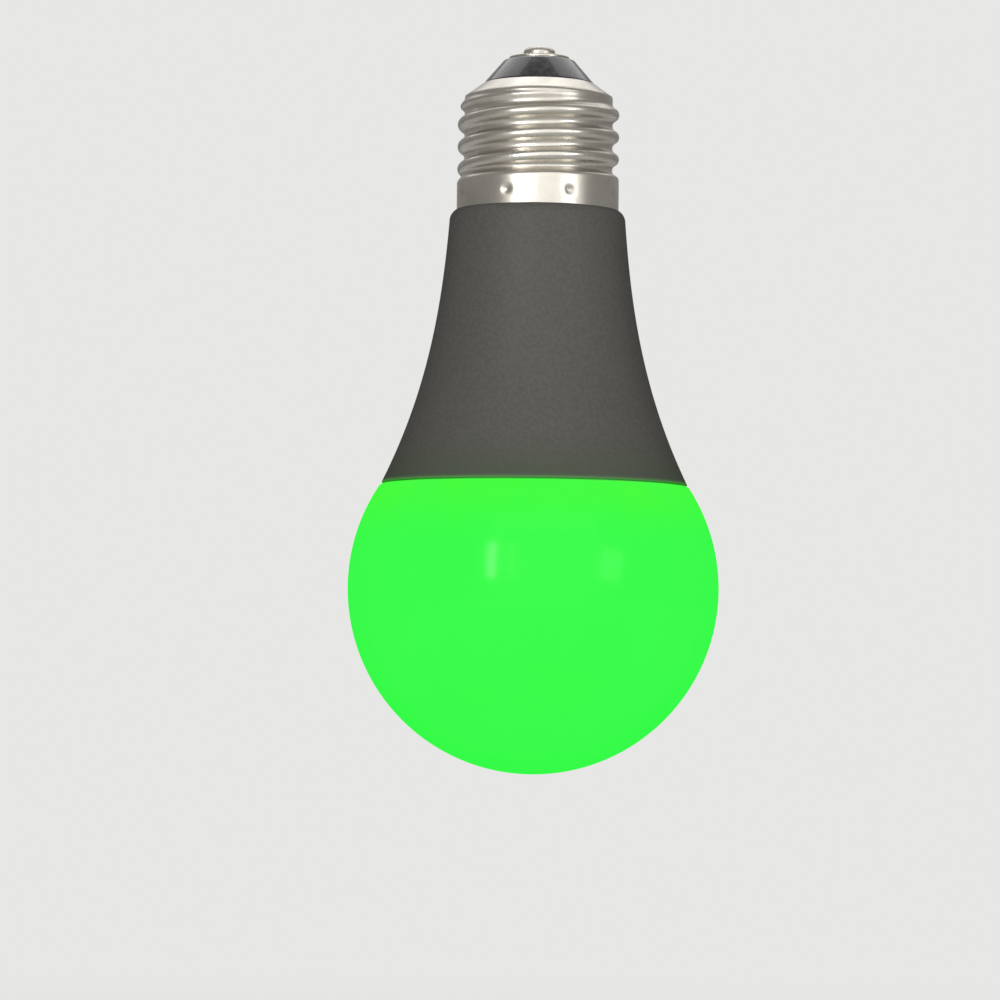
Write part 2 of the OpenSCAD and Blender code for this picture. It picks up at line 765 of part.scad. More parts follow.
// A fusible resistor in the live lead, with its lower lead soldered flat on the board
module fuse_resistor() {
    color("gray") union() {
        translate([0, wire_y, fuse_z]) cylinder(r = fuse_r, h = fuse_length);
        translate([0, wire_y, board_top_z - solder_length])
            cylinder(r = wire_r, h = fuse_z - board_top_z + solder_length + 0.5, $fn = 24);
        translate([0, wire_y, fuse_top_z - 0.5]) cylinder(r = lead_r, h = fuse_tail + 0.5, $fn = 24);
    }
}

module fuse_sleeve() {
    color("white") translate([0, wire_y, 0])
        ring(fuse_r + 0.3, fuse_r + touch, fuse_z - fuse_sleeve_past, fuse_length + 2 * fuse_sleeve_past);
}

module live_wire() {
    from_z = fuse_top_z + fuse_tail;
    rise = nail_end_z - from_z;
    color("red")
        wire([for (t = steps_between(0, 1, 12)) [wire_slack * pow(sin(180 * t), 4), from_z + rise * t]],
             wire_r, wire_y);
}

module neutral_wire() {
    pad_x = 0.62 * neck_bore_r;
    over_z = neck_top_z + 0.9;
    out_x = neck_tube_r - wire_r - 0.03;
    color("blue") wire([[pad_x, board_top_z - solder_length], [pad_x, board_top_z],
                        [pad_x + 0.1, neck_top_z - 3], [pad_x + 0.7, neck_top_z - 1],
                        [pad_x + 1.9, over_z - 0.5], [neck_bore_r + 0.1, over_z],
                        [out_x - 0.5, over_z - 0.3], [out_x - 0.05, neck_top_z - 0.4],
                        [out_x, neck_top_z - 1.6], [out_x, neck_top_z - groove_length + 1]], wire_r, wire_y);
}

// Round-crested thread: how far below the crest the sheet lies, at a share u of the pitch
function knuckle(u) = let (
    quarter = thread_pitch / 4,
    half_depth = thread_depth / 2,
    arc_r = (quarter * quarter + half_depth * half_depth) / (2 * half_depth),
    x = abs(u - round(u)) * thread_pitch,
    crest = x < quarter,
    away = crest ? x : 2 * quarter - x,
    drop = arc_r - sqrt(arc_r * arc_r - away * away))
    crest ? drop : thread_depth - drop;

thread_sides = 36;
rows_per_pitch = 7;
thread_rows = ceil((thread_top_z - skirt_top_z) / thread_pitch * rows_per_pitch);
run_out = 1.8;
join = 0.02;          // how far the thread's sheet lies inside the plain band's faces
function fade(x) = let (t = min(max(x, 0), 1)) t * t * (3 - 2 * t);

// Radius of the rolled sheet's outer face: the plain band, the thread, and its root at the top
function thread_r(z, turn) = let (
    low = fade((z - skirt_top_z) / run_out),
    high = fade((thread_top_z - z) / run_out),
    worn = knuckle(z / thread_pitch - turn / 360))
    skirt_r - join - (low < 1 ? low * worn : high < 1 ? thread_depth - high * (thread_depth - worn) : worn);

// The threaded stretch, as sheet of the shell's thickness
module thread_tube() {
    n = thread_sides;
    zs = steps_between(skirt_top_z, thread_top_z, thread_rows);
    rows = len(zs);
    function face(inset) = [for (z = zs, i = [0:n - 1])
        let (a = i * 360 / n, r = thread_r(z, a) - inset) [r * cos(a), r * sin(a), z]];
    total = rows * n;
    walls = [for (k = [0:rows - 2], i = [0:n - 1]) let (j = (i + 1) % n, a = k * n, b = (k + 1) * n)
        each [[a + i, b + i, b + j], [a + i, b + j, a + j],
              [total + a + i, total + b + j, total + b + i], [total + a + i, total + a + j, total + b + j]]];
    low_end = [for (i = [0:n - 1]) let (j = (i + 1) % n) each [[i, j, total + j], [i, total + j, total + i]]];
    top = (rows - 1) * n;
    high_end = [for (i = [0:n - 1]) let (j = (i + 1) % n)
        each [[top + j, top + i, total + top + i], [top + j, total + top + i, total + top + j]]];
    polyhedron(points = concat(face(0), face(shell_wall - 2 * join)),
               faces = concat(walls, low_end, high_end));
}

// Plain band with punched stakes that hold the shell on the housing's neck
module skirt() {
    difference() {
        union() {
            ring(skirt_r, skirt_r - shell_wall, shoulder_z, skirt_height);
            intersection() {
                around(stake_count, stake_centre_r, stake_first)
                    translate([0, 0, stake_z]) sphere(r = stake_r + stake_wall);
                translate([0, 0, shoulder_z]) cylinder(r = skirt_r - shell_wall / 2, h = skirt_height);
            }
        }
        around(stake_count, stake_centre_r, stake_first) translate([0, 0, stake_z]) sphere(r = stake_r);
    }
}

// Cone that closes the shell down to the insulator
module shell_cone() {
    rotate_extrude() polygon([
        [thread_root_r, thread_top_z], [thread_root_r, thread_top_z + 0.3],
        [shell_mouth_r + 0.4, cone_top_z - 0.2], [shell_mouth_r, cone_top_z],
        [shell_mouth_r, cone_top_z - 0.4], [thread_root_r - shell_wall, thread_top_z + 0.1],
        [thread_root_r - shell_wall, thread_top_z]]);
}

module screw_shell() {
    color("silver") union() {
        thread_tube();
        skirt();
        shell_cone();
    }
}

module cap_insulator() {
    step_r = shell_mouth_r - touch;
    color("black") rotate_extrude() polygon([
        [insulator_hole_r, insulator_bottom_z], [insulator_r, insulator_bottom_z],
        [insulator_r, cone_top_z - 1.4], [step_r, cone_top_z - 0.45], [step_r, cone_top_z + 0.1],
        [insulator_top_r, plate_contact_z], [insulator_hole_r, plate_contact_z]]);
}

module contact_plate() {
    color("silver") rotate_extrude() polygon([
        [insulator_hole_r, plate_contact_z], [plate_contact_r, plate_contact_z],
        [plate_contact_r - 0.15, plate_contact_z + plate_contact_t - 0.2],
        [plate_contact_r - 0.5, plate_contact_z + plate_contact_t],
        [insulator_hole_r, plate_contact_z + plate_contact_t]]);
}

// Nail that clamps the live wire; its domed head is the tip of the cap
module contact_nail() {
    round_r = nail_head_r - nail_flat_r;
    round_h = 0.6 * nail_head_t;
    color("silver") rotate_extrude() polygon(concat(
        [[0, nail_end_z], [nail_r, nail_end_z], [nail_r, -nail_head_t], [nail_head_r, -nail_head_t]],
        [for (a = [0:15:90]) [nail_flat_r + round_r * cos(a), -round_h * (1 - sin(a))]],
        [[0, 0]]));
}

globe();
globe_seal();
housing();
heatsink_cup();
heatsink_plate();
thermal_pad();
led_board();
led_packages();
warm_phosphors();
cool_phosphors();
red_chips();
green_chips();
blue_chips();
board_screws();
board_socket();
header_strip();
header_pins();
driver_board();
solder_joints();
radio_board();
radio_spacer();
radio_pins();
radio_shield();
radio_antenna();
transformer_core();
transformer_bobbin();
transformer_winding();
output_capacitor();
output_capacitor_sleeve();
bulk_capacitor();
bulk_capacitor_sleeve();
film_capacitor();
choke_core();
choke_winding();
varistor();
rectifier();
led_driver_chip();
supply_chip();
chip_resistors();
chip_capacitors();
fuse_resistor();
fuse_sleeve();
live_wire();
neutral_wire();
screw_shell();
cap_insulator();
contact_plate();
contact_nail();
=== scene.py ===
import math

import bmesh
import bpy
from mathutils import Matrix, Vector


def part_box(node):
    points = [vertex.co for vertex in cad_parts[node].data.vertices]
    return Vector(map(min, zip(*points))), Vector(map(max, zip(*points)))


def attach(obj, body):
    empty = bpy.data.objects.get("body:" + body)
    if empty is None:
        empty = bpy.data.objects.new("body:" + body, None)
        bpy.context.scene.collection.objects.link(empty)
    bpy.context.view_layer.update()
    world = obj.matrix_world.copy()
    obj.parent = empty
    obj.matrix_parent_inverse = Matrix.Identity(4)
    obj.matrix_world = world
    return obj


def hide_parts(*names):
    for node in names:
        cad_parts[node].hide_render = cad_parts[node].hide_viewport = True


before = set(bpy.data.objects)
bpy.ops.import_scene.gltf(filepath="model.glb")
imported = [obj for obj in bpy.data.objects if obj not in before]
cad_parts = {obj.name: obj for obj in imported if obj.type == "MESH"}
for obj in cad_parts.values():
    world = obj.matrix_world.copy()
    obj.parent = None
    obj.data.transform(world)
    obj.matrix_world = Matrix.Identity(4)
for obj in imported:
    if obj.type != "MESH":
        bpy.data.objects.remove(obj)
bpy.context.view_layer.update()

# A smart light bulb, hanging globe down. Metres, +Z up, origin at the tip of the cap's contact.
# The driver board stands upright in the housing, and +Y is its back.

MM = 0.001
SIDES = 128          # faces round a large turned piece
THREAD_SIDES = 192   # round the cap's threaded shell
CAN_SIDES = 96       # round a can, a sleeve or a disc
SMALL_SIDES = 32     # round an LED's cup
LEAD_SIDES = 20      # round a lead
WELD = 1e-6          # points closer than this are one point
SHARP = 32           # degrees; a sharper edge than this stays an edge when shaded

# ---------- sizes, read from the frame ----------


def low(node):
    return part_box(node)[0]


def high(node):
    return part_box(node)[1]


def centre(node):
    return (low(node) + high(node)) / 2


def radius_of(node):
    return (high(node).x - low(node).x) / 2


slip = 0.15 * MM     # play round a piece that slides into another
touch = 0.01 * MM    # play round a piece that sits tight in another
globe_r = radius_of("globe")
globe_z = low("globe").z + globe_r
seam_z = low("housing").z
seam_r = math.sqrt(globe_r ** 2 - (seam_z - globe_z) ** 2)
lip_top_z = high("globe").z
globe_wall = 1.2 * MM
lip_wall = 1.0 * MM
lip_r = radius_of("led_board")
reveal = 0.2 * MM
mouth_r = lip_r + slip

shoulder_z = low("screw_shell").z
skirt_r = radius_of("screw_shell")
shoulder = 1.0 * MM
shoulder_round = 2.0 * MM
shoulder_turn = math.degrees(math.acos(1 - shoulder / shoulder_round))
bay_floor_z = low("heatsink_cup").z
bay_wall = 1.6 * MM
bay_top_z = shoulder_z - bay_wall
cup_top_z = high("heatsink_cup").z
cup_wall = 0.8 * MM
neck_top_z = high("housing").z
thread_depth = 1.1 * MM
thread_pitch = 3.629 * MM
sheet = 0.3 * MM
thread_root_r = skirt_r - thread_depth
neck_play = 0.2 * MM
neck_wall = 1.75 * MM
neck_r = thread_root_r - sheet - neck_play
neck_bore_r = neck_r - neck_wall
collar_r = skirt_r - sheet - slip
skirt_height = 4.4 * MM
skirt_top_z = shoulder_z + skirt_height
collar_top_z = skirt_top_z - 0.7 * MM
mouth_z = high("screw_shell").z
drawn_in = 2.4 * MM  # height over which the shell closes on its insulator
thread_top_z = mouth_z - drawn_in
shell_mouth_r = thread_root_r * 0.745
insulator_r = radius_of("cap_insulator")
nail_hole_r = 0.95 * MM
board_y = low("driver_board").y
board_back_y = high("driver_board").y
lead_r = 0.3 * MM

# ---------- modelling by hand ----------


def start_fresh():
    """Object mode and nothing selected, so that the next operator touches only what it should."""
    if bpy.context.mode != "OBJECT":
        bpy.ops.object.mode_set(mode="OBJECT")
    bpy.ops.object.select_all(action="DESELECT")


def work_on(piece):
    start_fresh()
    piece.select_set(True)
    bpy.context.view_layer.objects.active = piece


def arc(middle, radius, first, last, steps):
    """Points round a middle, from one angle to another in degrees: 0 is outwards and 90 is up."""
    turns = [math.radians(angle) for angle in spread(first, last, steps)]
    return [(middle[0] + radius * math.cos(a), middle[1] + radius * math.sin(a)) for a in turns]


def spread(first, last, steps):
    return [first + (last - first) * i / steps for i in range(steps + 1)]


def lathe(name, outline, sides=SIDES):
    """Draws an outline of (radius, height) points with a pen, and spins it round the axis."""
    start_fresh()
    bpy.ops.mesh.primitive_plane_add(size=MM)
    piece = bpy.context.object
    piece.name = piece.data.name = name
    bpy.ops.object.mode_set(mode="EDIT")
    bpy.ops.mesh.merge(type="CENTER")
    pen = Vector((0, 0, 0))
    for number, (radius, height) in enumerate(outline):
        step = Vector((radius, 0, height)) - pen
        if number == 0:
            bpy.ops.transform.translate(value=step)
        else:
            bpy.ops.mesh.extrude_region_move(TRANSFORM_OT_translate={"value": step})
        pen += step
    bpy.ops.mesh.select_all(action="SELECT")
    bpy.ops.mesh.spin(steps=sides, angle=math.tau, center=(0, 0, 0), axis=(0, 0, 1))
    close_up()
    bpy.ops.object.mode_set(mode="OBJECT")
    return piece


def close_up():
    """Merges doubles and points every face outwards. Edit mode."""
    bpy.ops.mesh.select_all(action="SELECT")
    bpy.ops.mesh.remove_doubles(threshold=WELD)
    bpy.ops.mesh.delete_loose()
    bpy.ops.mesh.select_all(action="SELECT")
    bpy.ops.mesh.normals_make_consistent(inside=False)


def apply(piece, kind, **settings):
    """Adds a modifier, sets it and applies it."""
    work_on(piece)
    modifier = piece.modifiers.new(kind.title(), kind)
    for key, value in settings.items():
        setattr(modifier, key, value)
    bpy.ops.object.modifier_apply(modifier=modifier.name)


def break_edges(piece, width, segments=3, angle=SHARP):
    apply(piece, "BEVEL", width=width, segments=segments, limit_method="ANGLE",
          angle_limit=math.radians(angle))


def set_down(piece, place, tilt=(0, 0, 0)):
    """Moves and turns a piece that was made at the origin, and applies both."""
    work_on(piece)
    piece.location = place
    piece.rotation_euler = [math.radians(turn) for turn in tilt]
    bpy.ops.object.transform_apply(location=True, rotation=True, scale=False)
    return piece


def block(name, corner, opposite, width=0.0, segments=3):
    """A cuboid between two corners, with its edges rounded."""
    start_fresh()
    corner, opposite = Vector(corner), Vector(opposite)
    bpy.ops.mesh.primitive_cube_add(size=1, location=(corner + opposite) / 2)
    piece = bpy.context.object
    piece.name = piece.data.name = name
    piece.scale = [abs(side) for side in opposite - corner]
    bpy.ops.object.transform_apply(location=True, rotation=False, scale=True)
    if width:
        break_edges(piece, width, segments)
    return piece


def join(name, pieces):
    work_on(pieces[0])
    for piece in pieces[1:]:
        piece.select_set(True)
    bpy.ops.object.join()
    pieces[0].name = pieces[0].data.name = name
    return pieces[0]


def carve(piece, cutter, operation="DIFFERENCE"):
    """Cuts one piece out of another, or melts it into it, and cleans up the seam."""
    apply(piece, "BOOLEAN", object=cutter, operation=operation, solver="EXACT")
    bpy.data.objects.remove(cutter)
    bpy.ops.object.mode_set(mode="EDIT")
    close_up()
    bpy.ops.object.mode_set(mode="OBJECT")


def copy_to(name, piece, places, follow=False):
    """Puts a copy of a piece at each place, turned to face the bulb's axis if it should follow it."""
    copies = []
    for place in places:
        work_on(piece)
        bpy.ops.object.duplicate(linked=False)
        turn = math.degrees(math.atan2(place.y, place.x)) if follow else 0
        copies.append(set_down(bpy.context.object, place, (0, 0, turn)))
    bpy.data.objects.remove(piece)
    return join(name, copies)


def solids_of(node):
    """Middle of each separate solid in a CAD node."""
    mesh = bmesh.new()
    mesh.from_mesh(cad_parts[node].data)
    bmesh.ops.remove_doubles(mesh, verts=mesh.verts, dist=WELD)
    left = set(mesh.verts)
    middles = []
    while left:
        todo = [left.pop()]
        points = []
        while todo:
            vertex = todo.pop()
            points.append(vertex.co.copy())
            near = {edge.other_vert(vertex) for edge in vertex.link_edges} & left
            left -= near
            todo += near
        corners = [Vector([pick(p[i] for p in points) for i in range(3)]) for pick in (min, max)]
        middles.append((corners[0] + corners[1]) / 2)
    mesh.free()
    return sorted(middles, key=lambda p: (round(p.z, 6), round(p.y, 6), p.x))


def skin_of(name, node):
    """A copy of a CAD solid with its triangles merged into one skin."""
    start_fresh()
    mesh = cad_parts[node].data.copy()
    mesh.materials.clear()
    piece = bpy.data.objects.new(name, mesh)
    bpy.context.scene.collection.objects.link(piece)
    work_on(piece)
    bpy.ops.object.mode_set(mode="EDIT")
    bpy.ops.mesh.select_all(action="SELECT")
    bpy.ops.mesh.remove_doubles(threshold=WELD)
    bpy.ops.mesh.dissolve_limited(angle_limit=math.radians(1))
    bpy.ops.object.mode_set(mode="OBJECT")
    return piece


# ---------- materials ----------


class Wire:
    """A socket in a node tree, so that shader maths reads as arithmetic."""

    def __init__(self, nodes, socket):
        self.nodes = nodes
        self.socket = socket

    def maths(self, operation, *values):
        return self.nodes.node("ShaderNodeMath", {"operation": operation}, values)

    def __add__(self, other):
        return self.maths("ADD", self, other)

    __radd__ = __add__

    def __sub__(self, other):
        return self.maths("SUBTRACT", self, other)

    def __rsub__(self, other):
        return self.maths("SUBTRACT", other, self)

    def __mul__(self, other):
        return self.maths("MULTIPLY", self, other)

    __rmul__ = __mul__

    def __pow__(self, other):
        return self.maths("POWER", self, other)

    def sine(self):
        return self.maths("SINE", self)

    def size(self):
        return self.maths("ABSOLUTE", self)

    def or_more(self, other):
        return self.maths("MAXIMUM", self, other)


class Nodes:
    """A node tree, emptied and built node by node."""

    def __init__(self, tree, output):
        self.tree = tree
        self.tree.nodes.clear()
        self.output = self.tree.nodes.new(output)

    def node(self, kind, settings=None, values=(), output=0):
        """Adds a node: its settings first, then the values or links of its sockets."""
        made = self.tree.nodes.new(kind)
        for key, value in (settings or {}).items():
            setattr(made, key, value)
        pairs = values.items() if isinstance(values, dict) else enumerate(values)
        for key, value in pairs:
            self.put(made.inputs[key], value)
        return Wire(self, made.outputs[output])

    def put(self, socket, value):
        if isinstance(value, Wire):
            self.tree.links.new(value.socket, socket)
        elif socket.type == "RGBA":
            socket.default_value = (*value[:3], 1.0)
        else:
            socket.default_value = value

    def show(self, surface):
        self.put(self.output.inputs["Surface"], surface)

    def outputs_of(self, wire, names):
        return [Wire(self, wire.socket.node.outputs[name]) for name in names]

    def rays(self):
        """1 for rays from the camera or through glass, and 1 for rays from a reflection."""
        kinds = ("Is Camera Ray", "Is Transmission Ray", "Is Glossy Ray")
        camera, glass, glossy = self.outputs_of(self.node("ShaderNodeLightPath"), kinds)
        return camera.or_more(glass), glossy

    def step(self, value, low_in, high_in, low_out=0.0, high_out=1.0):
        return self.node("ShaderNodeMapRange", {"interpolation_type": "SMOOTHSTEP"},
                         {"Value": value, "From Min": low_in, "From Max": high_in,
                          "To Min": low_out, "To Max": high_out})

    def blend(self, share, first, second):
        return self.node("ShaderNodeMix", {"data_type": "RGBA"}, {0: share, 6: first, 7: second}, 2)

    def split(self, place):
        """x, y and z of a place."""
        return self.outputs_of(self.node("ShaderNodeSeparateXYZ", {}, [place]), "XYZ")


class Finish(Nodes):
    """A material round one Principled shader, patterned on the object's own coordinates."""

    def __init__(self, name, **constants):
        self.name = name
        self.material = bpy.data.materials.new(name)
        self.material.use_nodes = True
        super().__init__(self.material.node_tree, "ShaderNodeOutputMaterial")
        self.surface = self.node("ShaderNodeBsdfPrincipled")
        self.show(self.surface)
        self.place = self.node("ShaderNodeTexCoord", {}, [], "Object")
        self.wear(**constants)

    def wear(self, **sockets):
        """Sets the shader's own sockets, named in lower case with underscores."""
        for name, value in sockets.items():
            words = name.replace("_", " ").title().replace("Ior", "IOR")
            self.put(self.surface.socket.node.inputs[words], value)
        return self

    def noise(self, scale, detail=2.0, rough=0.5, place=None):
        return self.node("ShaderNodeTexNoise", {}, {"Vector": place or self.place, "Scale": scale,
                                                    "Detail": detail, "Roughness": rough})

    def cells(self, scale):
        """Distance from the middle of the nearest cell."""
        return self.node("ShaderNodeTexVoronoi", {}, {"Vector": self.place, "Scale": scale})

    def round(self, middle=(0, 0, 0)):
        """The turn, the height and the distance from an upright axis through a place."""
        place = self.node("ShaderNodeVectorMath", {"operation": "SUBTRACT"}, [self.place, middle])
        x, y, z = self.split(place)
        return y.maths("ARCTAN2", y, x), z, (x * x + y * y) ** 0.5

    def gloss(self, most):
        """Gloss that is strongest face on, and gone where the surface turns away."""
        facing = self.node("ShaderNodeLayerWeight", {}, {"Blend": 0.5}, "Facing")
        return self.step(facing, 0.25, 0.7, most, 0.0)

    def tinned(self, share, colour, rough, coat=0.0):
        """A colour where the share is 0, and bare tinned metal where it is 1."""
        return self.wear(base_color=self.blend(share, colour, TIN), metallic=share,
                         roughness=(0.24 - rough) * share + rough, coat_weight=(1 - share) * coat)

    def behind_board(self):
        """1 on leads from the driver board's face on, and 0 in front of it."""
        return self.step(self.split(self.place)[1], board_y - 0.2 * MM, board_y - 0.15 * MM)

    def relief(self, height, distance, strength=1.0):
        return self.wear(normal=self.node("ShaderNodeBump", {},
                                          {"Strength": strength, "Distance": distance, "Height": height}))


def srgb(red, green, blue):
    """A colour as it is read on a screen, 0 to 255, in linear light."""
    def linear(c):
        c /= 255
        return c / 12.92 if c <= 0.04045 else ((c + 0.055) / 1.055) ** 2.4
    return (linear(red), linear(green), linear(blue))


def darker(colour, share):
    return tuple(c * share for c in colour)


TIN = (0.68, 0.68, 0.67)


def lit_opal():
    """Opal diffuser, lit green from inside, with the soft gloss of the moulding over it."""
    f = Finish("lit_opal", roughness=0.6, specular_ior_level=0.0, coat_roughness=0.14, coat_ior=1.13,
               base_color=(0.004, 0.035, 0.006), emission_strength=1.0)
    z = f.split(f.place)[2]
    rise = seam_z - globe_z
    foot, middle, rim, cloud = srgb(50, 248, 69), srgb(55, 248, 72), srgb(69, 249, 58), srgb(57, 249, 73)
    glow = f.blend(f.step(z, globe_z - globe_r, globe_z), foot, middle)
    glow = f.blend(f.step(z, globe_z + 0.42 * rise, globe_z + 0.92 * rise), glow, rim)
    glow = f.blend(f.step(f.noise(140, 3.0), 0.3, 0.7, 0.0, 0.4), glow, cloud)
    f.wear(emission_color=glow, coat_weight=f.gloss(1.0))
    return f.relief(f.noise(1600, 2.0), 0.004 * MM, 0.3)


def matte_housing():
    """Fine spark-eroded texture on a grey moulding, with painted green light from the globe and painted shade
    towards the seam, and a painted green glow on its edge.
    """
    f = Finish("matte_housing", specular_ior_level=0.0, coat_roughness=0.5, coat_ior=1.3,
               emission_strength=1.0)
    painted_spill_reach, lit_edge = 9 * MM, 0.8 * MM
    z = f.split(f.place)[2]
    grain = f.noise(4200, 2.0, 0.6)
    tone = f.blend(f.noise(90, 3.0), srgb(78, 76, 72), srgb(82, 80, 76))
    tone = f.blend(0.6 * f.step(f.noise(1700, 2.0), 0.35, 0.65), tone, srgb(88, 86, 82))
    # painted green light from the globe and painted shade: the tone turns greener and darker towards the seam
    tone = f.blend(f.step(z, seam_z, seam_z + painted_spill_reach, 0.7, 0.0), tone, srgb(70, 79, 65))
    # painted glow: emission on the housing's last 0.8 mm, standing in for the globe's light falling on it
    painted_glow = f.step(z, seam_z, seam_z + lit_edge, 1.0, 0.0)
    f.wear(base_color=tone, roughness=f.step(grain, 0.3, 0.7, 0.6, 0.76), coat_weight=f.gloss(0.4),
           emission_color=f.blend(painted_glow * painted_glow, (0, 0, 0), (0.01, 0.16, 0.008)))
    return f.relief(grain + 0.5 * f.noise(1500, 2.0), 0.03 * MM, 0.6)


def nickel_plate():
    """Satin nickel on rolled brass sheet, with the drawing lines that run round it."""
    f = Finish("nickel_plate", metallic=1.0)
    turn, z, r = f.round()
    drawn = f.noise(6000, 3.0, 0.7, f.node("ShaderNodeCombineXYZ", {}, [turn * 0.004, z, r]))
    dull = f.noise(120, 4.0, 0.6)
    tone = f.blend(f.step(dull, 0.35, 0.7), (0.53, 0.5, 0.45), (0.43, 0.405, 0.355))
    f.wear(base_color=tone, roughness=f.step(dull, 0.3, 0.75, 0.22, 0.38) + 0.08 * drawn)
    return f.relief(drawn, 0.01 * MM, 0.5)


def black_glaze():
    """Glossy black insulation with a slightly uneven surface."""
    f = Finish("black_glaze", coat_weight=0.5, coat_roughness=0.08)
    spots = f.noise(900, 4.0, 0.6)
    f.wear(base_color=f.blend(f.step(spots, 0.45, 0.75), (0.012, 0.012, 0.013), (0.03, 0.029, 0.03)),
           roughness=f.step(spots, 0.3, 0.8, 0.22, 0.4))
    return f.relief(f.noise(400, 2.0), 0.04 * MM, 0.4)


def moulding(name, colour, rough, grain=2500):
    """Moulded plastic: a cloudy tone, fine grain and patches that are more polished."""
    f = Finish(name, specular_ior_level=0.45)
    fine = f.noise(grain, 3.0, 0.6)
    cloud = f.noise(220, 3.0)
    f.wear(base_color=f.blend(f.step(cloud, 0.3, 0.7), darker(colour, 0.88), colour),
           roughness=f.step(fine, 0.3, 0.7, rough - 0.08, rough + 0.08))
    return f.relief(fine, 0.01 * MM, 0.5)


def metal(name, colour, rough, stretch=(1, 1, 0.05), scale=3000):
    """Bare or plated metal with drawing marks along one direction."""
    f = Finish(name, metallic=1.0)
    marks = f.noise(scale, 3.0, 0.65, f.node("ShaderNodeMapping", {}, {"Vector": f.place, "Scale": stretch}))
    stain = f.noise(300, 4.0, 0.6)
    f.wear(base_color=f.blend(f.step(stain, 0.4, 0.75), colour, darker(colour, 0.8)),
           roughness=f.step(stain, 0.3, 0.7, rough, rough + 0.12) + 0.06 * marks)
    return f.relief(marks, 0.006 * MM, 0.5)


def coated_board(name, mask, track):
    """Upright circuit board: runs of parallel tracks under a solder mask, over a glass weave."""
    f = Finish(name, coat_weight=0.3, coat_roughness=0.15)
    black, white = (0, 0, 0), (1, 1, 1)
    x, z = f.split(f.place)[::2]

    def runs(along, across):
        face = f.node("ShaderNodeCombineXYZ", {}, [along, across, 0.0])
        return f.node("ShaderNodeTexBrick", {"offset": 0.37, "squash": 1.7, "squash_frequency": 3},
                      {"Vector": face, "Color1": black, "Color2": black, "Mortar": white, "Scale": 1.0,
                       "Mortar Size": 0.13 * MM, "Brick Width": 13 * MM, "Row Height": 0.85 * MM})

    tracks = f.blend(f.step(f.noise(170, 1.0), 0.5, 0.503), runs(x, z), runs(z, x))
    tracks = tracks * f.step(f.noise(260, 1.0), 0.42, 0.423)
    weave = f.noise(4000, 2.0)
    tone = f.blend(tracks, mask, track)
    f.wear(base_color=f.blend(f.step(weave, 0.3, 0.8, 0.0, 0.3), tone, darker(mask, 0.7)),
           roughness=f.step(weave, 0.3, 0.7, 0.28, 0.4))
    return f.relief(tracks + 0.2 * weave, 0.02 * MM, 0.6)


def white_mask():
    """White solder mask, with the faint rings of the copper under it."""
    f = Finish("white_mask", coat_weight=0.3, coat_roughness=0.2, roughness=0.42)
    rings = f.step((f.round()[2] * (math.tau / (4.4 * MM))).sine(), 0.2, 0.3)
    f.wear(base_color=f.blend(0.5 * rings + 0.2 * f.noise(500, 3.0), (0.80, 0.81, 0.80), (0.87, 0.87, 0.85)))
    return f.relief(rings, 0.02 * MM, 0.5)


def dipped(name, colour):
    """Dip-coated epoxy: glossy, with the slow waves that it sets in."""
    f = Finish(name, coat_roughness=0.06)
    waves = f.noise(450, 2.0, 0.4)
    dust = f.noise(5000, 2.0)
    tone = f.blend(f.step(waves + 0.2 * dust, 0.4, 0.8), colour, darker(colour, 0.75))
    return f.tinned(f.behind_board(), tone, 0.3, 0.6).relief(waves, 0.06 * MM, 0.6)


def resistor_cement():
    """Matt coating over the fuse resistor's body, and its bare leads along the axis."""
    f = Finish("resistor_cement")
    reach = f.round((centre("fuse_resistor").x, low("fuse_resistor").y + radius_of("fuse_resistor"), 0))[2]
    grain = f.noise(1400, 4.0, 0.6)
    tone = f.blend(grain, (0.20, 0.28, 0.24), (0.27, 0.36, 0.31))
    share = f.step(reach, 0.42 * MM, 0.46 * MM, 1.0, 0.0)
    return f.tinned(share, tone, 0.55, 0.1).relief(grain, 0.03 * MM, 0.5)


def chip_case(node):
    """Black chip body, with a matt grain, and tinned legs at both sides of it."""
    f = Finish(node + "_case", specular_ior_level=0.45)
    leg_reach = 1.2 * MM
    body = radius_of(node) - leg_reach
    away = (f.split(f.place)[0] - centre(node).x).size()
    grain = f.noise(4000, 3.0, 0.6)
    tone = f.blend(grain, (0.02, 0.02, 0.022), (0.035, 0.035, 0.037))
    share = f.step(away, body + 0.02 * MM, body + 0.04 * MM)
    return f.tinned(share, tone, 0.5).relief(grain, 0.01 * MM, 0.5)


def bobbin_moulding():
    """Black phenolic moulding with short fibres in it, and the tinned pins behind the board's face."""
    f = Finish("bobbin_moulding", specular_ior_level=0.5)
    fibres = f.noise(1600, 4.0, 0.7)
    tone = f.blend(fibres, (0.025, 0.024, 0.023), (0.05, 0.047, 0.045))
    return f.tinned(f.behind_board(), tone, 0.34).relief(fibres, 0.01 * MM, 0.5)


def gel(name, colour, glow=0.0):
    """Silicone gel over an LED's chip, with the grains of phosphor in it."""
    f = Finish(name, coat_weight=0.7, coat_roughness=0.05, roughness=0.35, emission_color=colour,
               emission_strength=glow)
    f.wear(base_color=f.blend(f.step(f.cells(9000), 0.1, 0.6), colour, darker(colour, 0.82)))
    return f.relief(f.noise(900, 2.0), 0.02 * MM, 0.4)


def ferrite():
    """Sintered ferrite: dark grey, ground on its faces, with small pits."""
    f = Finish("ferrite", specular_ior_level=0.4)
    pits = f.step(f.cells(5200), 0.08, 0.2)
    f.wear(base_color=f.blend(f.noise(700, 3.0), (0.045, 0.045, 0.05), (0.085, 0.085, 0.09)),
           roughness=0.72 - 0.12 * pits)
    return f.relief(pits, 0.02 * MM, 0.6)


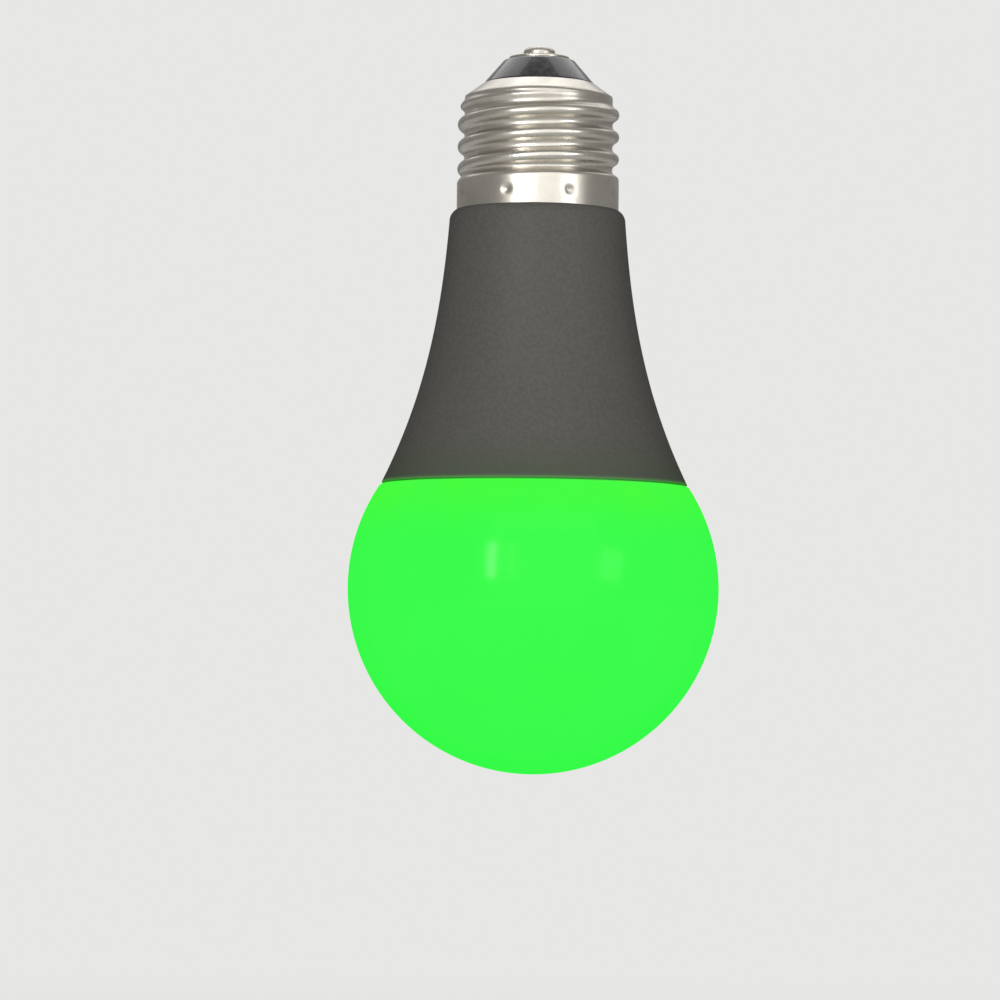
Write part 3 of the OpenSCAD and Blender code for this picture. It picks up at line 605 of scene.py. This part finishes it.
def wound_tape():
    """Yellow polyester tape, wound tight enough to show the layer under it."""
    f = Finish("wound_tape", coat_weight=0.5, coat_roughness=0.12, roughness=0.3)
    z = f.split(f.place)[2]
    ridges = (z * (math.tau / (0.31 * MM))).sine() * 0.5 + 0.5
    lap = f.noise(260, 1.0)
    f.wear(base_color=f.blend(0.35 * ridges + 0.3 * lap, (0.86, 0.64, 0.05), (0.62, 0.40, 0.03)))
    return f.relief(ridges + 0.5 * lap, 0.02 * MM, 0.5)


def enamelled_copper():
    """Copper wire under clear amber enamel."""
    f = Finish("enamelled_copper", metallic=0.85, coat_weight=0.8, coat_roughness=0.08, roughness=0.26)
    streaks = f.noise(1800, 2.0)
    f.wear(base_color=f.blend(streaks, (0.62, 0.22, 0.07), (0.42, 0.12, 0.03)))
    return f.relief(streaks, 0.005 * MM, 0.4)


def shrunk_sleeve(node):
    """Black sleeve shrunk on a can, with the pale dashes down its negative side."""
    f = Finish(node + "_film", coat_weight=0.4, coat_roughness=0.1, roughness=0.34)
    turn, z = f.round(centre(node))[:2]
    stripe = f.step((turn + 0.6 * math.pi).size(), 0.34, 0.36, 1.0, 0.0)
    dashes = f.step((z * (math.tau / (2.6 * MM))).sine(), -0.62, -0.55)
    f.wear(base_color=f.blend(stripe * dashes, (0.012, 0.014, 0.02), (0.5, 0.52, 0.55)))
    return f.relief(f.noise(700, 3.0), 0.02 * MM, 0.4)


def glass_sleeving(node):
    """Braided glass sleeving: two sets of strands that cross on the slant."""
    f = Finish("glass_sleeving", roughness=0.7, sheen_weight=0.4)
    turn, z = f.round(centre(node))[:2]
    pitch = z * (math.tau / (0.9 * MM))
    braid = ((turn * 12 + pitch).sine() * (turn * 12 - pitch).sine()) * 0.5 + 0.5
    f.wear(base_color=f.blend(braid, (0.62, 0.60, 0.54), (0.86, 0.85, 0.80)))
    return f.relief(braid, 0.05 * MM, 0.7)


def by_name(*made):
    """Finishes that have the name of their slot."""
    return {finish.name: finish for finish in made}


finishes = {
    "globe_plastic": lit_opal(),
    "housing_plastic": matte_housing(),
    "black_insulator": black_glaze(),
    "white_board": white_mask(),
    "bobbin_plastic": bobbin_moulding(),
    "yellow_tape": wound_tape(),
    "resistor_coat": resistor_cement(),
    "white_sleeve": glass_sleeving("fuse_sleeve"),
    **by_name(
        nickel_plate(),
        ferrite(),
        enamelled_copper(),
        moulding("white_silicone", (0.78, 0.78, 0.75), 0.5, 900),
        moulding("led_plastic", (0.84, 0.82, 0.75), 0.35),
        moulding("black_moulding", (0.025, 0.025, 0.027), 0.5, 4000),
        moulding("ivory_moulding", (0.76, 0.72, 0.60), 0.4),
        moulding("chip_ceramic", (0.46, 0.33, 0.21), 0.45, 5000),
        moulding("red_insulation", (0.58, 0.02, 0.015), 0.35, 1200),
        moulding("blue_insulation", (0.015, 0.06, 0.45), 0.35, 1200),
        metal("heatsink_aluminium", (0.75, 0.75, 0.76), 0.3),
        metal("plated_steel", TIN, 0.26, (1, 0.06, 1)),
        metal("gold_pins", (0.88, 0.66, 0.26), 0.2),
        metal("solder", (0.74, 0.75, 0.76), 0.16, (1, 1, 1), 900),
        metal("copper_track", (0.80, 0.46, 0.27), 0.28),
        metal("capacitor_can", (0.78, 0.78, 0.79), 0.22),
        gel("warm_phosphor", (0.90, 0.50, 0.10)),
        gel("cool_phosphor", (0.90, 0.80, 0.22)),
        gel("clear_red", (0.75, 0.08, 0.05)),
        gel("clear_green", (0.08, 0.85, 0.16), 1.0),
        gel("clear_blue", (0.06, 0.16, 0.85)),
        coated_board("green_board", (0.012, 0.15, 0.045), (0.05, 0.30, 0.10)),
        coated_board("blue_board", (0.008, 0.03, 0.11), (0.03, 0.09, 0.24)),
        dipped("red_epoxy", (0.42, 0.055, 0.03)),
        dipped("blue_epoxy", (0.03, 0.12, 0.42)),
    ),
}


def finished(piece, node, slot, angle=SHARP, finish=None):
    """Shades a piece, gives it its material and puts it in the frame for a CAD node."""
    work_on(piece)
    bpy.ops.object.shade_smooth_by_angle(angle=math.radians(angle))
    piece.data.materials.clear()
    piece.data.materials.append((finish or finishes[slot]).material)
    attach(piece, "root")
    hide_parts(node)
    return piece


# ---------- globe and housing ----------


def make_globe():
    """A hollow ball, cut flat at the seam, with a lip that stands up inside the housing's mouth."""
    rim_z = seam_z - reveal
    rim_angle = math.degrees(math.asin((rim_z - globe_z) / globe_r))
    bore_r = lip_r - lip_wall
    web_z = seam_z - globe_wall
    inner_r = globe_r - globe_wall
    inner_angle = math.degrees(math.asin((web_z - globe_z) / inner_r))
    outline = (arc((0, globe_z), globe_r, -90, rim_angle, 72)
               + [(lip_r, rim_z), (lip_r, lip_top_z), (bore_r, lip_top_z), (bore_r, web_z)]
               + arc((0, globe_z), inner_r, inner_angle, -90, 48))
    globe = lathe("globe_diffuser", outline)
    break_edges(globe, 0.35 * MM, 4)
    finished(globe, "globe", "globe_plastic")


def flare(t):
    """How far the housing has opened at a share t of its height, from the shoulder down."""
    straight = 0.32
    curve = 2.55
    return straight * t + (1 - straight) * t ** curve


def housing_radius(z):
    top = skirt_r + shoulder
    return top + (seam_r - top) * flare((shoulder_z - z) / (shoulder_z - seam_z))


def add_rails(housing):
    """The two grooved rails on the bay's wall that grip the driver board's edges."""
    board = [vertex.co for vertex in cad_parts["driver_board"].data.vertices]
    edge_x = max(point.x for point in board if point.z > cup_top_z + 2 * MM)
    rail_z = min(point.z for point in board if abs(point.x - edge_x) < WELD) + 0.4 * MM
    wall = 1.2 * MM
    grip = 1.0 * MM
    slack = 0.12 * MM
    reach = housing_radius(bay_top_z) - bay_wall + 0.4 * MM
    for side in (-1, 1):
        rail = block("rail", (side * (edge_x - grip), board_y - wall, rail_z),
                     (side * reach, board_back_y + wall, bay_top_z + 0.5 * MM))
        carve(rail, block("slot", (side * (edge_x - 2 * grip), board_y - slack, rail_z - MM),
                          (side * (edge_x + slack), board_back_y + slack, bay_top_z)))
        carve(housing, rail, "UNION")


def make_housing():
    """The flared shell, with the collar and the neck that the cap is pressed on."""
    round_z = shoulder_z - shoulder_round * math.sin(math.radians(shoulder_turn))
    round_r = housing_radius(round_z) - shoulder_round
    outside = [(housing_radius(z), z) for z in spread(seam_z, round_z, 64)]
    corner = arc((round_r, round_z), shoulder_round, 0, shoulder_turn, 8)[1:]
    inside = [(housing_radius(z) - bay_wall, z) for z in spread(bay_top_z, bay_floor_z, 40)]
    bevel = 0.8 * MM
    outline = (outside + corner + [(collar_r, z) for z in spread(shoulder_z, collar_top_z, 14)]
               + [(neck_r, collar_top_z + 0.6 * MM), (neck_r, neck_top_z),
                  (neck_bore_r, neck_top_z), (neck_bore_r, bay_top_z)]
               + inside
               + [(mouth_r, bay_floor_z), (mouth_r, seam_z + bevel), (mouth_r + bevel, seam_z),
                  (seam_r, seam_z)])
    housing = lathe("housing_shell", outline)
    break_edges(housing, 0.18 * MM, 3, 40)
    punch_stakes(housing, 0.4 * MM)
    add_rails(housing)
    wire_low, wire_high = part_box("neutral_wire")
    play = 0.1 * MM
    groove_r = neck_r - (wire_high.y - wire_low.y) - 0.35 * MM
    carve(housing, block("groove", (groove_r, wire_low.y - play, neck_top_z - 8 * MM),
                         (neck_r + MM, wire_high.y + play, neck_top_z + MM)))
    finished(housing, "housing", "housing_plastic")


# ---------- cap ----------


def knuckle(share):
    """Depth of the round thread below its crest, at a share of the pitch from the crest."""
    quarter = thread_pitch / 4
    half_depth = thread_depth / 2
    arc_r = (quarter ** 2 + half_depth ** 2) / (2 * half_depth)
    away = abs(share - round(share)) * thread_pitch
    if away < quarter:
        return arc_r - math.sqrt(arc_r ** 2 - away ** 2)
    return thread_depth - (arc_r - math.sqrt(arc_r ** 2 - (2 * quarter - away) ** 2))


def ease(x):
    x = min(max(x, 0), 1)
    return x * x * (3 - 2 * x)


def thread_depth_at(z, turn):
    """How deep the sheet is rolled in at a height and a turn, with the thread fading at both ends."""
    fade = 1.8 * MM
    worn = knuckle(z / thread_pitch - turn / math.tau)
    start = ease((z - skirt_top_z) / fade)
    end = ease((thread_top_z - z) / fade)
    return start * worn if start < 1 else thread_depth - end * (thread_depth - worn)


def roll_thread(shell):
    """Rolls the round thread into the plain shell, a hair inside its skirt."""
    crest_r = skirt_r - 0.02 * MM
    for vertex in shell.data.vertices:
        x, y, z = vertex.co
        if skirt_top_z < z < thread_top_z + WELD:
            turn = math.atan2(y, x)
            radius = crest_r - thread_depth_at(z, turn)
            vertex.co.x = radius * math.cos(turn)
            vertex.co.y = radius * math.sin(turn)


def punch_stakes(piece, deep):
    """Presses the eight stakes that hold the shell into its plain band, or their seats into the collar."""
    stake_z = shoulder_z + skirt_height / 2
    stake_r = 0.55 * MM
    count = 8
    for vertex in piece.data.vertices:
        x, y, z = vertex.co
        if not shoulder_z < z < skirt_top_z or math.hypot(x, y) < skirt_r - MM:
            continue
        turn = math.atan2(y, x)
        nearest = (round(turn / math.tau * count - 0.5) + 0.5) * math.tau / count
        away = math.hypot((turn - nearest) * skirt_r, z - stake_z)
        depth = deep * math.exp(-(away / stake_r) ** 2)
        vertex.co.x -= depth * math.cos(turn)
        vertex.co.y -= depth * math.sin(turn)


def make_screw_shell():
    """A thin shell: a plain skirt, the thread, and a mouth drawn in over the insulator."""
    skirt = [(skirt_r, z) for z in spread(shoulder_z, skirt_top_z, 16)]
    threads = [(thread_root_r, z) for z in spread(skirt_top_z, thread_top_z, 72)][1:]
    bend = 0.7 * MM
    outline = skirt + threads + [(thread_root_r - 0.05 * MM, thread_top_z + 0.3 * MM),
                                 (thread_root_r - bend, thread_top_z + 0.75 * MM),
                                 (shell_mouth_r + 0.4 * MM, mouth_z - 0.2 * MM),
                                 (shell_mouth_r + 0.05 * MM, mouth_z)]
    shell = lathe("screw_shell_plated", outline, THREAD_SIDES)
    roll_thread(shell)
    punch_stakes(shell, 0.36 * MM)
    apply(shell, "SOLIDIFY", thickness=sheet, offset=-1)
    finished(shell, "screw_shell", "nickel_plate", 50)


def make_insulator():
    """A black cone between the shell and the contact plate."""
    bottom = low("cap_insulator").z
    plate_z = low("contact_plate").z
    step_r = shell_mouth_r - touch
    top_r = 5.7 * MM
    outline = [(nail_hole_r, bottom), (insulator_r, bottom), (insulator_r, mouth_z - 1.4 * MM),
               (step_r, mouth_z - 0.45 * MM), (step_r, mouth_z + 0.1 * MM),
               (top_r, plate_z), (nail_hole_r, plate_z), (nail_hole_r, bottom)]
    insulator = lathe("insulator_cone", outline)
    break_edges(insulator, 0.25 * MM, 4)
    finished(insulator, "cap_insulator", "black_insulator")


def make_contact():
    """The contact plate, and the nail whose rounded head holds it down."""
    bottom, top = low("contact_plate").z, high("contact_plate").z
    plate_r = radius_of("contact_plate")
    plate = lathe("contact_disc", [(nail_hole_r, bottom), (plate_r, bottom), (plate_r, top),
                                   (nail_hole_r, top), (nail_hole_r, bottom)])
    break_edges(plate, 0.22 * MM, 4)
    finished(plate, "contact_plate", "nickel_plate")
    point, crown = low("contact_nail").z, high("contact_nail").z
    nail_r = 0.9 * MM
    head_r = radius_of("contact_nail")
    head_z = crown - 1.5 * MM
    slope = 0.55 * MM
    nail = lathe("contact_rivet", [(0, point), (nail_r, point), (nail_r, head_z), (head_r, head_z),
                                   (head_r, crown - slope), (head_r - slope, crown), (0, crown)])
    break_edges(nail, 0.3 * MM, 4)
    finished(nail, "contact_nail", "nickel_plate")


# ---------- heat sink and LED board ----------


def make_heatsink_cup():
    """The drawn cup, with its edges rounded over by the press."""
    wall = bay_wall + slip
    outside = [(housing_radius(z) - wall, z) for z in spread(bay_floor_z, cup_top_z, 32)]
    inside = [(r - cup_wall, z) for r, z in reversed(outside)]
    cup = lathe("heatsink_cup_drawn", outside + inside + outside[:1])
    break_edges(cup, 0.25 * MM, 3, 60)
    finished(cup, "heatsink_cup", "heatsink_aluminium")


def make_leds():
    """White moulded bodies with a bevelled cup, and the gel that fills each cup."""
    height = high("led_packages").z - low("led_packages").z
    wide, long = 2.8 * MM, 3.5 * MM
    cup_r = 1.1 * MM
    cup_depth = 0.35 * MM
    floor_r = 0.88 * MM
    body = block("led", (-wide / 2, -long / 2, -height / 2), (wide / 2, long / 2, height / 2), 0.09 * MM, 2)
    floor_z = cup_depth - height / 2
    cup = lathe("cup", [(0, -height), (cup_r + 0.3 * MM, -height), (cup_r, -height / 2), (floor_r, floor_z),
                        (0, floor_z)], SMALL_SIDES)
    carve(body, cup)
    leds = copy_to("led_bodies", body, solids_of("led_packages"), True)
    finished(leds, "led_packages", "led_plastic")
    half = cup_depth / 2
    gels = {"warm_phosphors": "warm_phosphor", "cool_phosphors": "cool_phosphor", "red_chips": "clear_red",
            "green_chips": "clear_green", "blue_chips": "clear_blue"}
    for node, slot in gels.items():
        dome = [((cup_r - touch) * share, 0.06 * MM * share ** 2 - half) for share in (1, 0.8, 0.55, 0.3)]
        drop = lathe("gel", [(0, half), (floor_r - touch, half)] + dome + [(0, -half)], SMALL_SIDES)
        drops = copy_to(node + "_gel", drop, solids_of(node))
        finished(drops, node, slot)


def make_board_screws():
    """Pan-head screws with a rolled thread and a cross recess."""
    bottom, top = low("board_screws").z, high("board_screws").z
    shaft_r, head_r = 1.0 * MM, 2.2 * MM
    head_top = bottom + 1.4 * MM
    pitch = 0.4 * MM
    turns = int((top - head_top - MM) / pitch)
    thread = []
    for z in spread(head_top + 0.4 * MM, head_top + 0.4 * MM + pitch * turns, turns):
        thread += [(shaft_r - 0.14 * MM, z), (shaft_r, z + pitch / 2)]
    dome = arc((head_r - 0.8 * MM, bottom + 0.8 * MM), 0.8 * MM, -90, 0, 6)
    screw = lathe("screw", [(0, bottom)] + dome + [(head_r, head_top), (shaft_r, head_top)] + thread[:-1]
                  + [(0.55 * MM, top), (0, top)], sides=48)
    for turn in (0, 90):
        arm = block("arm", (-1.3 * MM, -0.28 * MM, -MM), (1.3 * MM, 0.28 * MM, 0.9 * MM))
        carve(screw, set_down(arm, (0, 0, bottom), (0, 0, turn)))
    set_down(screw, (0, 0, -(bottom + top) / 2))
    screws = copy_to("board_screws_fitted", screw, solids_of("board_screws"), True)
    finished(screws, "board_screws", "plated_steel")


# ---------- driver parts ----------


def lead(x, z, start_y, end_y, coat=0.0):
    """A round lead along Y with a trimmed end; the coat is epoxy that runs down it from the start."""
    trim = 0.1 * MM
    outline = [(0, start_y), (lead_r + coat, start_y), (lead_r + 0.6 * coat, start_y + 0.5 * MM),
               (lead_r, start_y + 0.9 * MM), (lead_r, end_y - trim), (lead_r - trim, end_y), (0, end_y)]
    return set_down(lathe("lead", outline, LEAD_SIDES), (x, 0, z), (-90, 0, 0))


def make_solder():
    """A hollow-sided cone of solder round each lead on the board's back."""
    tall = high("solder_joints").y - low("solder_joints").y
    hole = lead_r + touch
    foot, tip = 2.1 * lead_r, 1.2 * lead_r
    sides = [(tip + (foot - tip) * (1 - t) ** 2.2, tall * (t - 0.5)) for t in spread(0, 1, 8)]
    joint = lathe("joint", [(hole, -tall / 2)] + sides + [(hole, tall / 2), (hole, -tall / 2)], sides=24)
    set_down(joint, (0, 0, 0), (-90, 0, 0))
    joints = copy_to("solder_fillets", joint, solids_of("solder_joints"))
    finished(joints, "solder_joints", "solder")


def make_capacitor(node, spacing):
    """An upright electrolytic can: rubber end, rolled crimp, scored vent, and leads bent to the board."""
    box_low, box_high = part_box(node)
    radius = radius_of(node)
    x, y = centre(node).x, box_low.y + radius
    base = box_low.z + 0.8 * MM
    top = box_high.z
    rubber = [(0, base), (0.62 * radius, base), (0.66 * radius, base + 0.25 * MM),
              (0.8 * radius, base + 0.25 * MM), (0.86 * radius, base), (radius - 0.2 * MM, base)]
    groove = [(radius - 0.32 * MM * math.sin(math.pi * t), base + (1.1 + 0.9 * t) * MM)
              for t in spread(0, 1, 6)]
    corner = 0.45 * MM
    dish_z = top - 0.08 * MM
    outline = (rubber + [(radius, base + 0.25 * MM)] + groove
               + arc((radius - corner, top - corner), corner, 0, 90, 5)
               + [(radius - 0.7 * MM, dish_z), (0, dish_z)])
    can = set_down(lathe("can", outline, CAN_SIDES), (x, y, 0))
    for turn in (45, 135):
        score = block("score", (-0.62 * radius, -0.1 * MM, -0.1 * MM), (0.62 * radius, 0.1 * MM, 0.4 * MM))
        carve(can, set_down(score, (x, y, top - 0.1 * MM), (0, 0, turn)))
    bend_z = box_low.z + lead_r
    root_z = base + 0.1 * MM
    for side in (-spacing / 2, spacing / 2):
        stub = lathe("stub", [(0, bend_z), (lead_r, bend_z), (lead_r, root_z), (0, root_z)], LEAD_SIDES)
        carve(can, set_down(stub, (x + side, y, 0)), "UNION")
        carve(can, lead(x + side, bend_z, y - lead_r, box_high.y), "UNION")
    can.name = can.data.name = node + "_can"
    finished(can, node, "capacitor_can")


def make_can_sleeve(node):
    """Shrunk sleeve whose rims curl in over the can's rounded ends."""
    bottom, top = low(node).z, high(node).z
    outer = radius_of(node)
    inner = outer - 0.24 * MM
    curl = 0.16 * MM
    outline = [(inner - curl, bottom), (outer - 0.1 * MM, bottom), (outer, bottom + 0.25 * MM),
               (outer, top - 0.3 * MM), (outer - 0.08 * MM, top - 0.06 * MM), (inner - curl, top),
               (inner - curl, top - 0.08 * MM), (inner, top - 0.4 * MM),
               (inner, bottom + 0.3 * MM), (inner - curl, bottom + 0.08 * MM), (inner - curl, bottom)]
    place = (centre(node).x, low(node).y + outer, 0)
    sleeve = set_down(lathe(node + "_shrunk", outline, CAN_SIDES), place)
    finished(sleeve, node, "can_sleeve", finish=shrunk_sleeve(node))


def make_film_capacitor():
    """A dipped box whose coating runs a little way down its two leads."""
    box_low, box_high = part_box("film_capacitor")
    face_y = board_y - 0.5 * MM
    body = block("film_capacitor_dipped", box_low, (box_high.x, face_y, box_high.z), 1.0 * MM, 6)
    tall = box_high.z - box_low.z
    for share in (0.12, 0.88):
        z = box_low.z + share * tall
        run = lead(centre("film_capacitor").x, z, face_y - 0.6 * MM, box_high.y, 0.35 * MM)
        carve(body, run, "UNION")
    finished(body, "film_capacitor", "red_epoxy")


def make_varistor():
    """A dipped disc, thicker at its middle, on two leads."""
    box_low, box_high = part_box("varistor")
    radius = radius_of("varistor")
    back_y = board_y - 0.8 * MM
    edge = 0.46 * (back_y - box_low.y)
    crown = 0.06 * MM
    outline = ([(0, box_low.y), (0.5 * radius, box_low.y + crown)]
               + arc((radius - edge, (box_low.y + back_y) / 2), edge, -80, 80, 12)
               + [(0.5 * radius, back_y - crown), (0, back_y)])
    middle = centre("varistor")
    disc = set_down(lathe("varistor_dipped", outline, CAN_SIDES), (middle.x, 0, middle.z), (-90, 0, 0))
    for z in (box_low.z + lead_r, box_high.z - lead_r):
        carve(disc, lead(middle.x, z, back_y - 0.9 * MM, box_high.y), "UNION")
    finished(disc, "varistor", "blue_epoxy")


def make_choke_winding():
    """One layer of wire, turn beside turn, on the drum."""
    box_low, box_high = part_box("choke_winding")
    radius = radius_of("choke_winding")
    waist = 0.28 / 0.44  # of the drum's core, against its flanges
    bore = radius * waist
    wire_r = 0.16 * MM
    tall = box_high.z - box_low.z
    turns = int(tall / (2 * wire_r))
    step = tall / turns
    outside = []
    for z in spread(box_low.z + step / 2, box_high.z - step / 2, turns - 1):
        outside += arc((radius - wire_r, z), wire_r, -80, 80, 5)
    outline = [(bore, box_low.z)] + outside + [(bore, box_high.z), (bore, box_low.z)]
    coil = set_down(lathe("choke_turns", outline, sides=72), (*centre("choke_winding").xy, 0))
    finished(coil, "choke_winding", "enamelled_copper", 60)


def make_fuse_resistor():
    """A ceramic core with pressed end caps, under its coating, on a thick and a thin lead."""
    box_low, box_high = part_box("fuse_resistor")
    radius = radius_of("fuse_resistor")
    top = box_high.z - MM
    bottom = top - 5 * MM
    thick_r = 0.4 * MM
    waist = radius - 0.14 * MM
    knob = [(0.75 * radius, 0.04 * MM), (0.95 * radius, 0.25 * MM), (radius, 0.6 * MM),
            (radius - 0.04 * MM, 1.05 * MM), (waist, 1.45 * MM)]
    outline = ([(0, box_low.z), (0.3 * MM, box_low.z), (thick_r, box_low.z + 0.1 * MM), (thick_r, bottom)]
               + [(r, bottom + up) for r, up in knob] + [(r, top - down) for r, down in reversed(knob)]
               + [(lead_r, top), (lead_r, box_high.z), (0, box_high.z)])
    place = (centre("fuse_resistor").x, box_low.y + radius, 0)
    resistor = set_down(lathe("fuse_resistor_coated", outline, sides=64), place)
    finished(resistor, "fuse_resistor", "resistor_coat")


def make_wire(node, slot):
    """A round insulated wire, smoothed from the CAD's faceted tube."""
    wire = skin_of(node + "_insulated", node)
    apply(wire, "SUBSURF", levels=2, render_levels=2)
    finished(wire, node, slot, 60)


# node, slot, and how far its edges are rounded in mm
MACHINED = [
    ("globe_seal", "white_silicone", 0.07),
    ("heatsink_plate", "heatsink_aluminium", 0.12),
    ("thermal_pad", "white_silicone", 0.06),
    ("led_board", "white_board", 0.06),
    ("board_socket", "ivory_moulding", 0.2),
    ("header_strip", "black_moulding", 0.15),
    ("header_pins", "gold_pins", 0.06),
    ("driver_board", "green_board", 0.05),
    ("radio_board", "blue_board", 0.05),
    ("radio_spacer", "black_moulding", 0.12),
    ("radio_pins", "gold_pins", 0.08),
    ("radio_shield", "plated_steel", 0.08),
    ("radio_antenna", "copper_track", 0.03),
    ("transformer_core", "ferrite", 0.12),
    ("transformer_bobbin", "bobbin_plastic", 0.1),
    ("transformer_winding", "yellow_tape", 0.35),
    ("choke_core", "ferrite", 0.1),
    ("rectifier", "black_moulding", 0.06),
    ("led_driver_chip", "black_moulding", 0.06),
    ("supply_chip", "black_moulding", 0.05),
    ("chip_resistors", "black_moulding", 0.06),
    ("chip_capacitors", "chip_ceramic", 0.1),
    ("fuse_sleeve", "white_sleeve", 0.06),
]


def make_machined_parts():
    """Parts whose shape the CAD already holds: one skin each, with every edge broken."""
    for node, slot, width in MACHINED:
        piece = skin_of(node + "_made", node)
        break_edges(piece, width * MM, 2)
        has_legs = node in ("rectifier", "led_driver_chip", "supply_chip")
        finished(piece, node, slot, finish=chip_case(node) if has_legs else None)


make_globe()
make_housing()
make_screw_shell()
make_insulator()
make_contact()
make_heatsink_cup()
make_leds()
make_board_screws()
make_solder()
make_capacitor("output_capacitor", 2.5 * MM)
make_capacitor("bulk_capacitor", 3.5 * MM)
make_can_sleeve("output_capacitor_sleeve")
make_can_sleeve("bulk_capacitor_sleeve")
make_film_capacitor()
make_varistor()
make_choke_winding()
make_fuse_resistor()
make_wire("live_wire", "red_insulation")
make_wire("neutral_wire", "blue_insulation")
make_machined_parts()

# ---------- stage, light and camera ----------

PALE = (0.80, 0.80, 0.79)
globe_centre = Vector((0, 0, globe_z))


def make_stage():
    """A pale floor well below the bulb. It fades into the pale room, and is clear from underneath."""
    floor_z = low("globe").z - 0.1
    floor_r = 6.0
    fade_from, fade_to = 0.1, 0.9
    start_fresh()
    bpy.ops.mesh.primitive_circle_add(vertices=96, radius=floor_r, fill_type="NGON", location=(0, 0, floor_z))
    floor = bpy.context.object
    floor.name = "pale_floor"
    bpy.ops.object.transform_apply(location=True)
    f = Finish("pale_floor", roughness=0.9, specular_ior_level=0.1)
    f.wear(base_color=f.blend(f.noise(3.0, 2.0), (0.82, 0.82, 0.81), (0.86, 0.86, 0.85)))
    room = f.node("ShaderNodeEmission", {}, {"Color": PALE})
    far = f.step(f.round()[2], fade_from, fade_to, 0.4, 1.0)
    above = f.node("ShaderNodeMixShader", {}, [far * f.rays()[0], f.surface, room])
    underneath = f.node("ShaderNodeNewGeometry", {}, [], "Backfacing")
    clear = f.node("ShaderNodeBsdfTransparent")
    f.show(f.node("ShaderNodeMixShader", {}, [underneath, above, clear]))
    floor.data.materials.append(f.material)


def make_world():
    """A pale room that lights the bulb dimly, shows more in its gloss, and is seen as it is."""
    world = bpy.data.worlds.new("pale_room")
    bpy.context.scene.world = world
    world.use_nodes = True
    w = Nodes(world.node_tree, "ShaderNodeOutputWorld")
    seen, reflected = w.rays()
    light, sheen, room = [w.node("ShaderNodeBackground", {}, {"Color": PALE, "Strength": strength})
                          for strength in (0.09, 0.45, 1.0)]
    indoors = w.node("ShaderNodeMixShader", {}, [reflected, light, sheen])
    w.show(w.node("ShaderNodeMixShader", {}, [seen, indoors, room]))


def soft_box(name, azimuth, elevation, distance, width, height, power, roll=0):
    """A soft lamp turned to the globe. Azimuth 0 is where the camera is, and 90 is to its right."""
    start_fresh()
    a, e = math.radians(azimuth), math.radians(elevation)
    away = Vector((math.sin(a) * math.cos(e), -math.cos(a) * math.cos(e), math.sin(e)))
    bpy.ops.object.light_add(type="AREA", location=globe_centre + away * distance)
    lamp = bpy.context.object
    lamp.name = name
    turn = away.to_track_quat("Z", "Y").to_matrix() @ Matrix.Rotation(math.radians(roll), 3, "Z")
    lamp.rotation_euler = turn.to_euler()
    lamp.data.shape = "RECTANGLE"
    lamp.data.size = width
    lamp.data.size_y = height
    lamp.data.energy = power
    lamp.visible_camera = False


def make_lamps():
    """A broad soft key, two lamps behind, and the three narrow windows whose light shows in the globe."""
    soft_box("key", 8, 12, 2.0, 2.8, 3.0, 38)
    soft_box("back_right", 155, 55, 1.8, 1.5, 1.5, 8)
    soft_box("back_left", 205, 55, 1.8, 1.5, 1.5, 8)
    soft_box("left_window", -26, 15.4, 1.2, 0.10, 0.44, 5.1, 3)
    soft_box("left_pane", -13, 16, 1.2, 0.16, 0.42, 0.6, 3)
    soft_box("right_window", 49, 12.6, 1.2, 0.28, 0.38, 2.5, -20)


def make_camera():
    """A long lens from a little below the globe's middle, aimed above it, and leaning slightly."""
    distance = 647 * MM
    drop, aim_left, aim_rise = 12.7 * MM, 5.53 * MM, 14.3 * MM
    eye = Vector((0, -distance, globe_z - drop))
    aim = Vector((-aim_left, 0, globe_z + aim_rise))
    start_fresh()
    bpy.ops.object.camera_add(location=eye)
    camera = bpy.context.object
    camera.name = "camera"
    lean = Matrix.Rotation(math.radians(0.7), 3, "Z")
    camera.rotation_euler = ((aim - eye).to_track_quat("-Z", "Y").to_matrix() @ lean).to_euler()
    camera.data.sensor_width = 36
    camera.data.lens = 143.9
    camera.data.clip_start = 0.01
    bpy.context.scene.camera = camera


make_stage()
make_world()
make_lamps()
make_camera()
bpy.context.scene.view_settings.view_transform = "Standard"
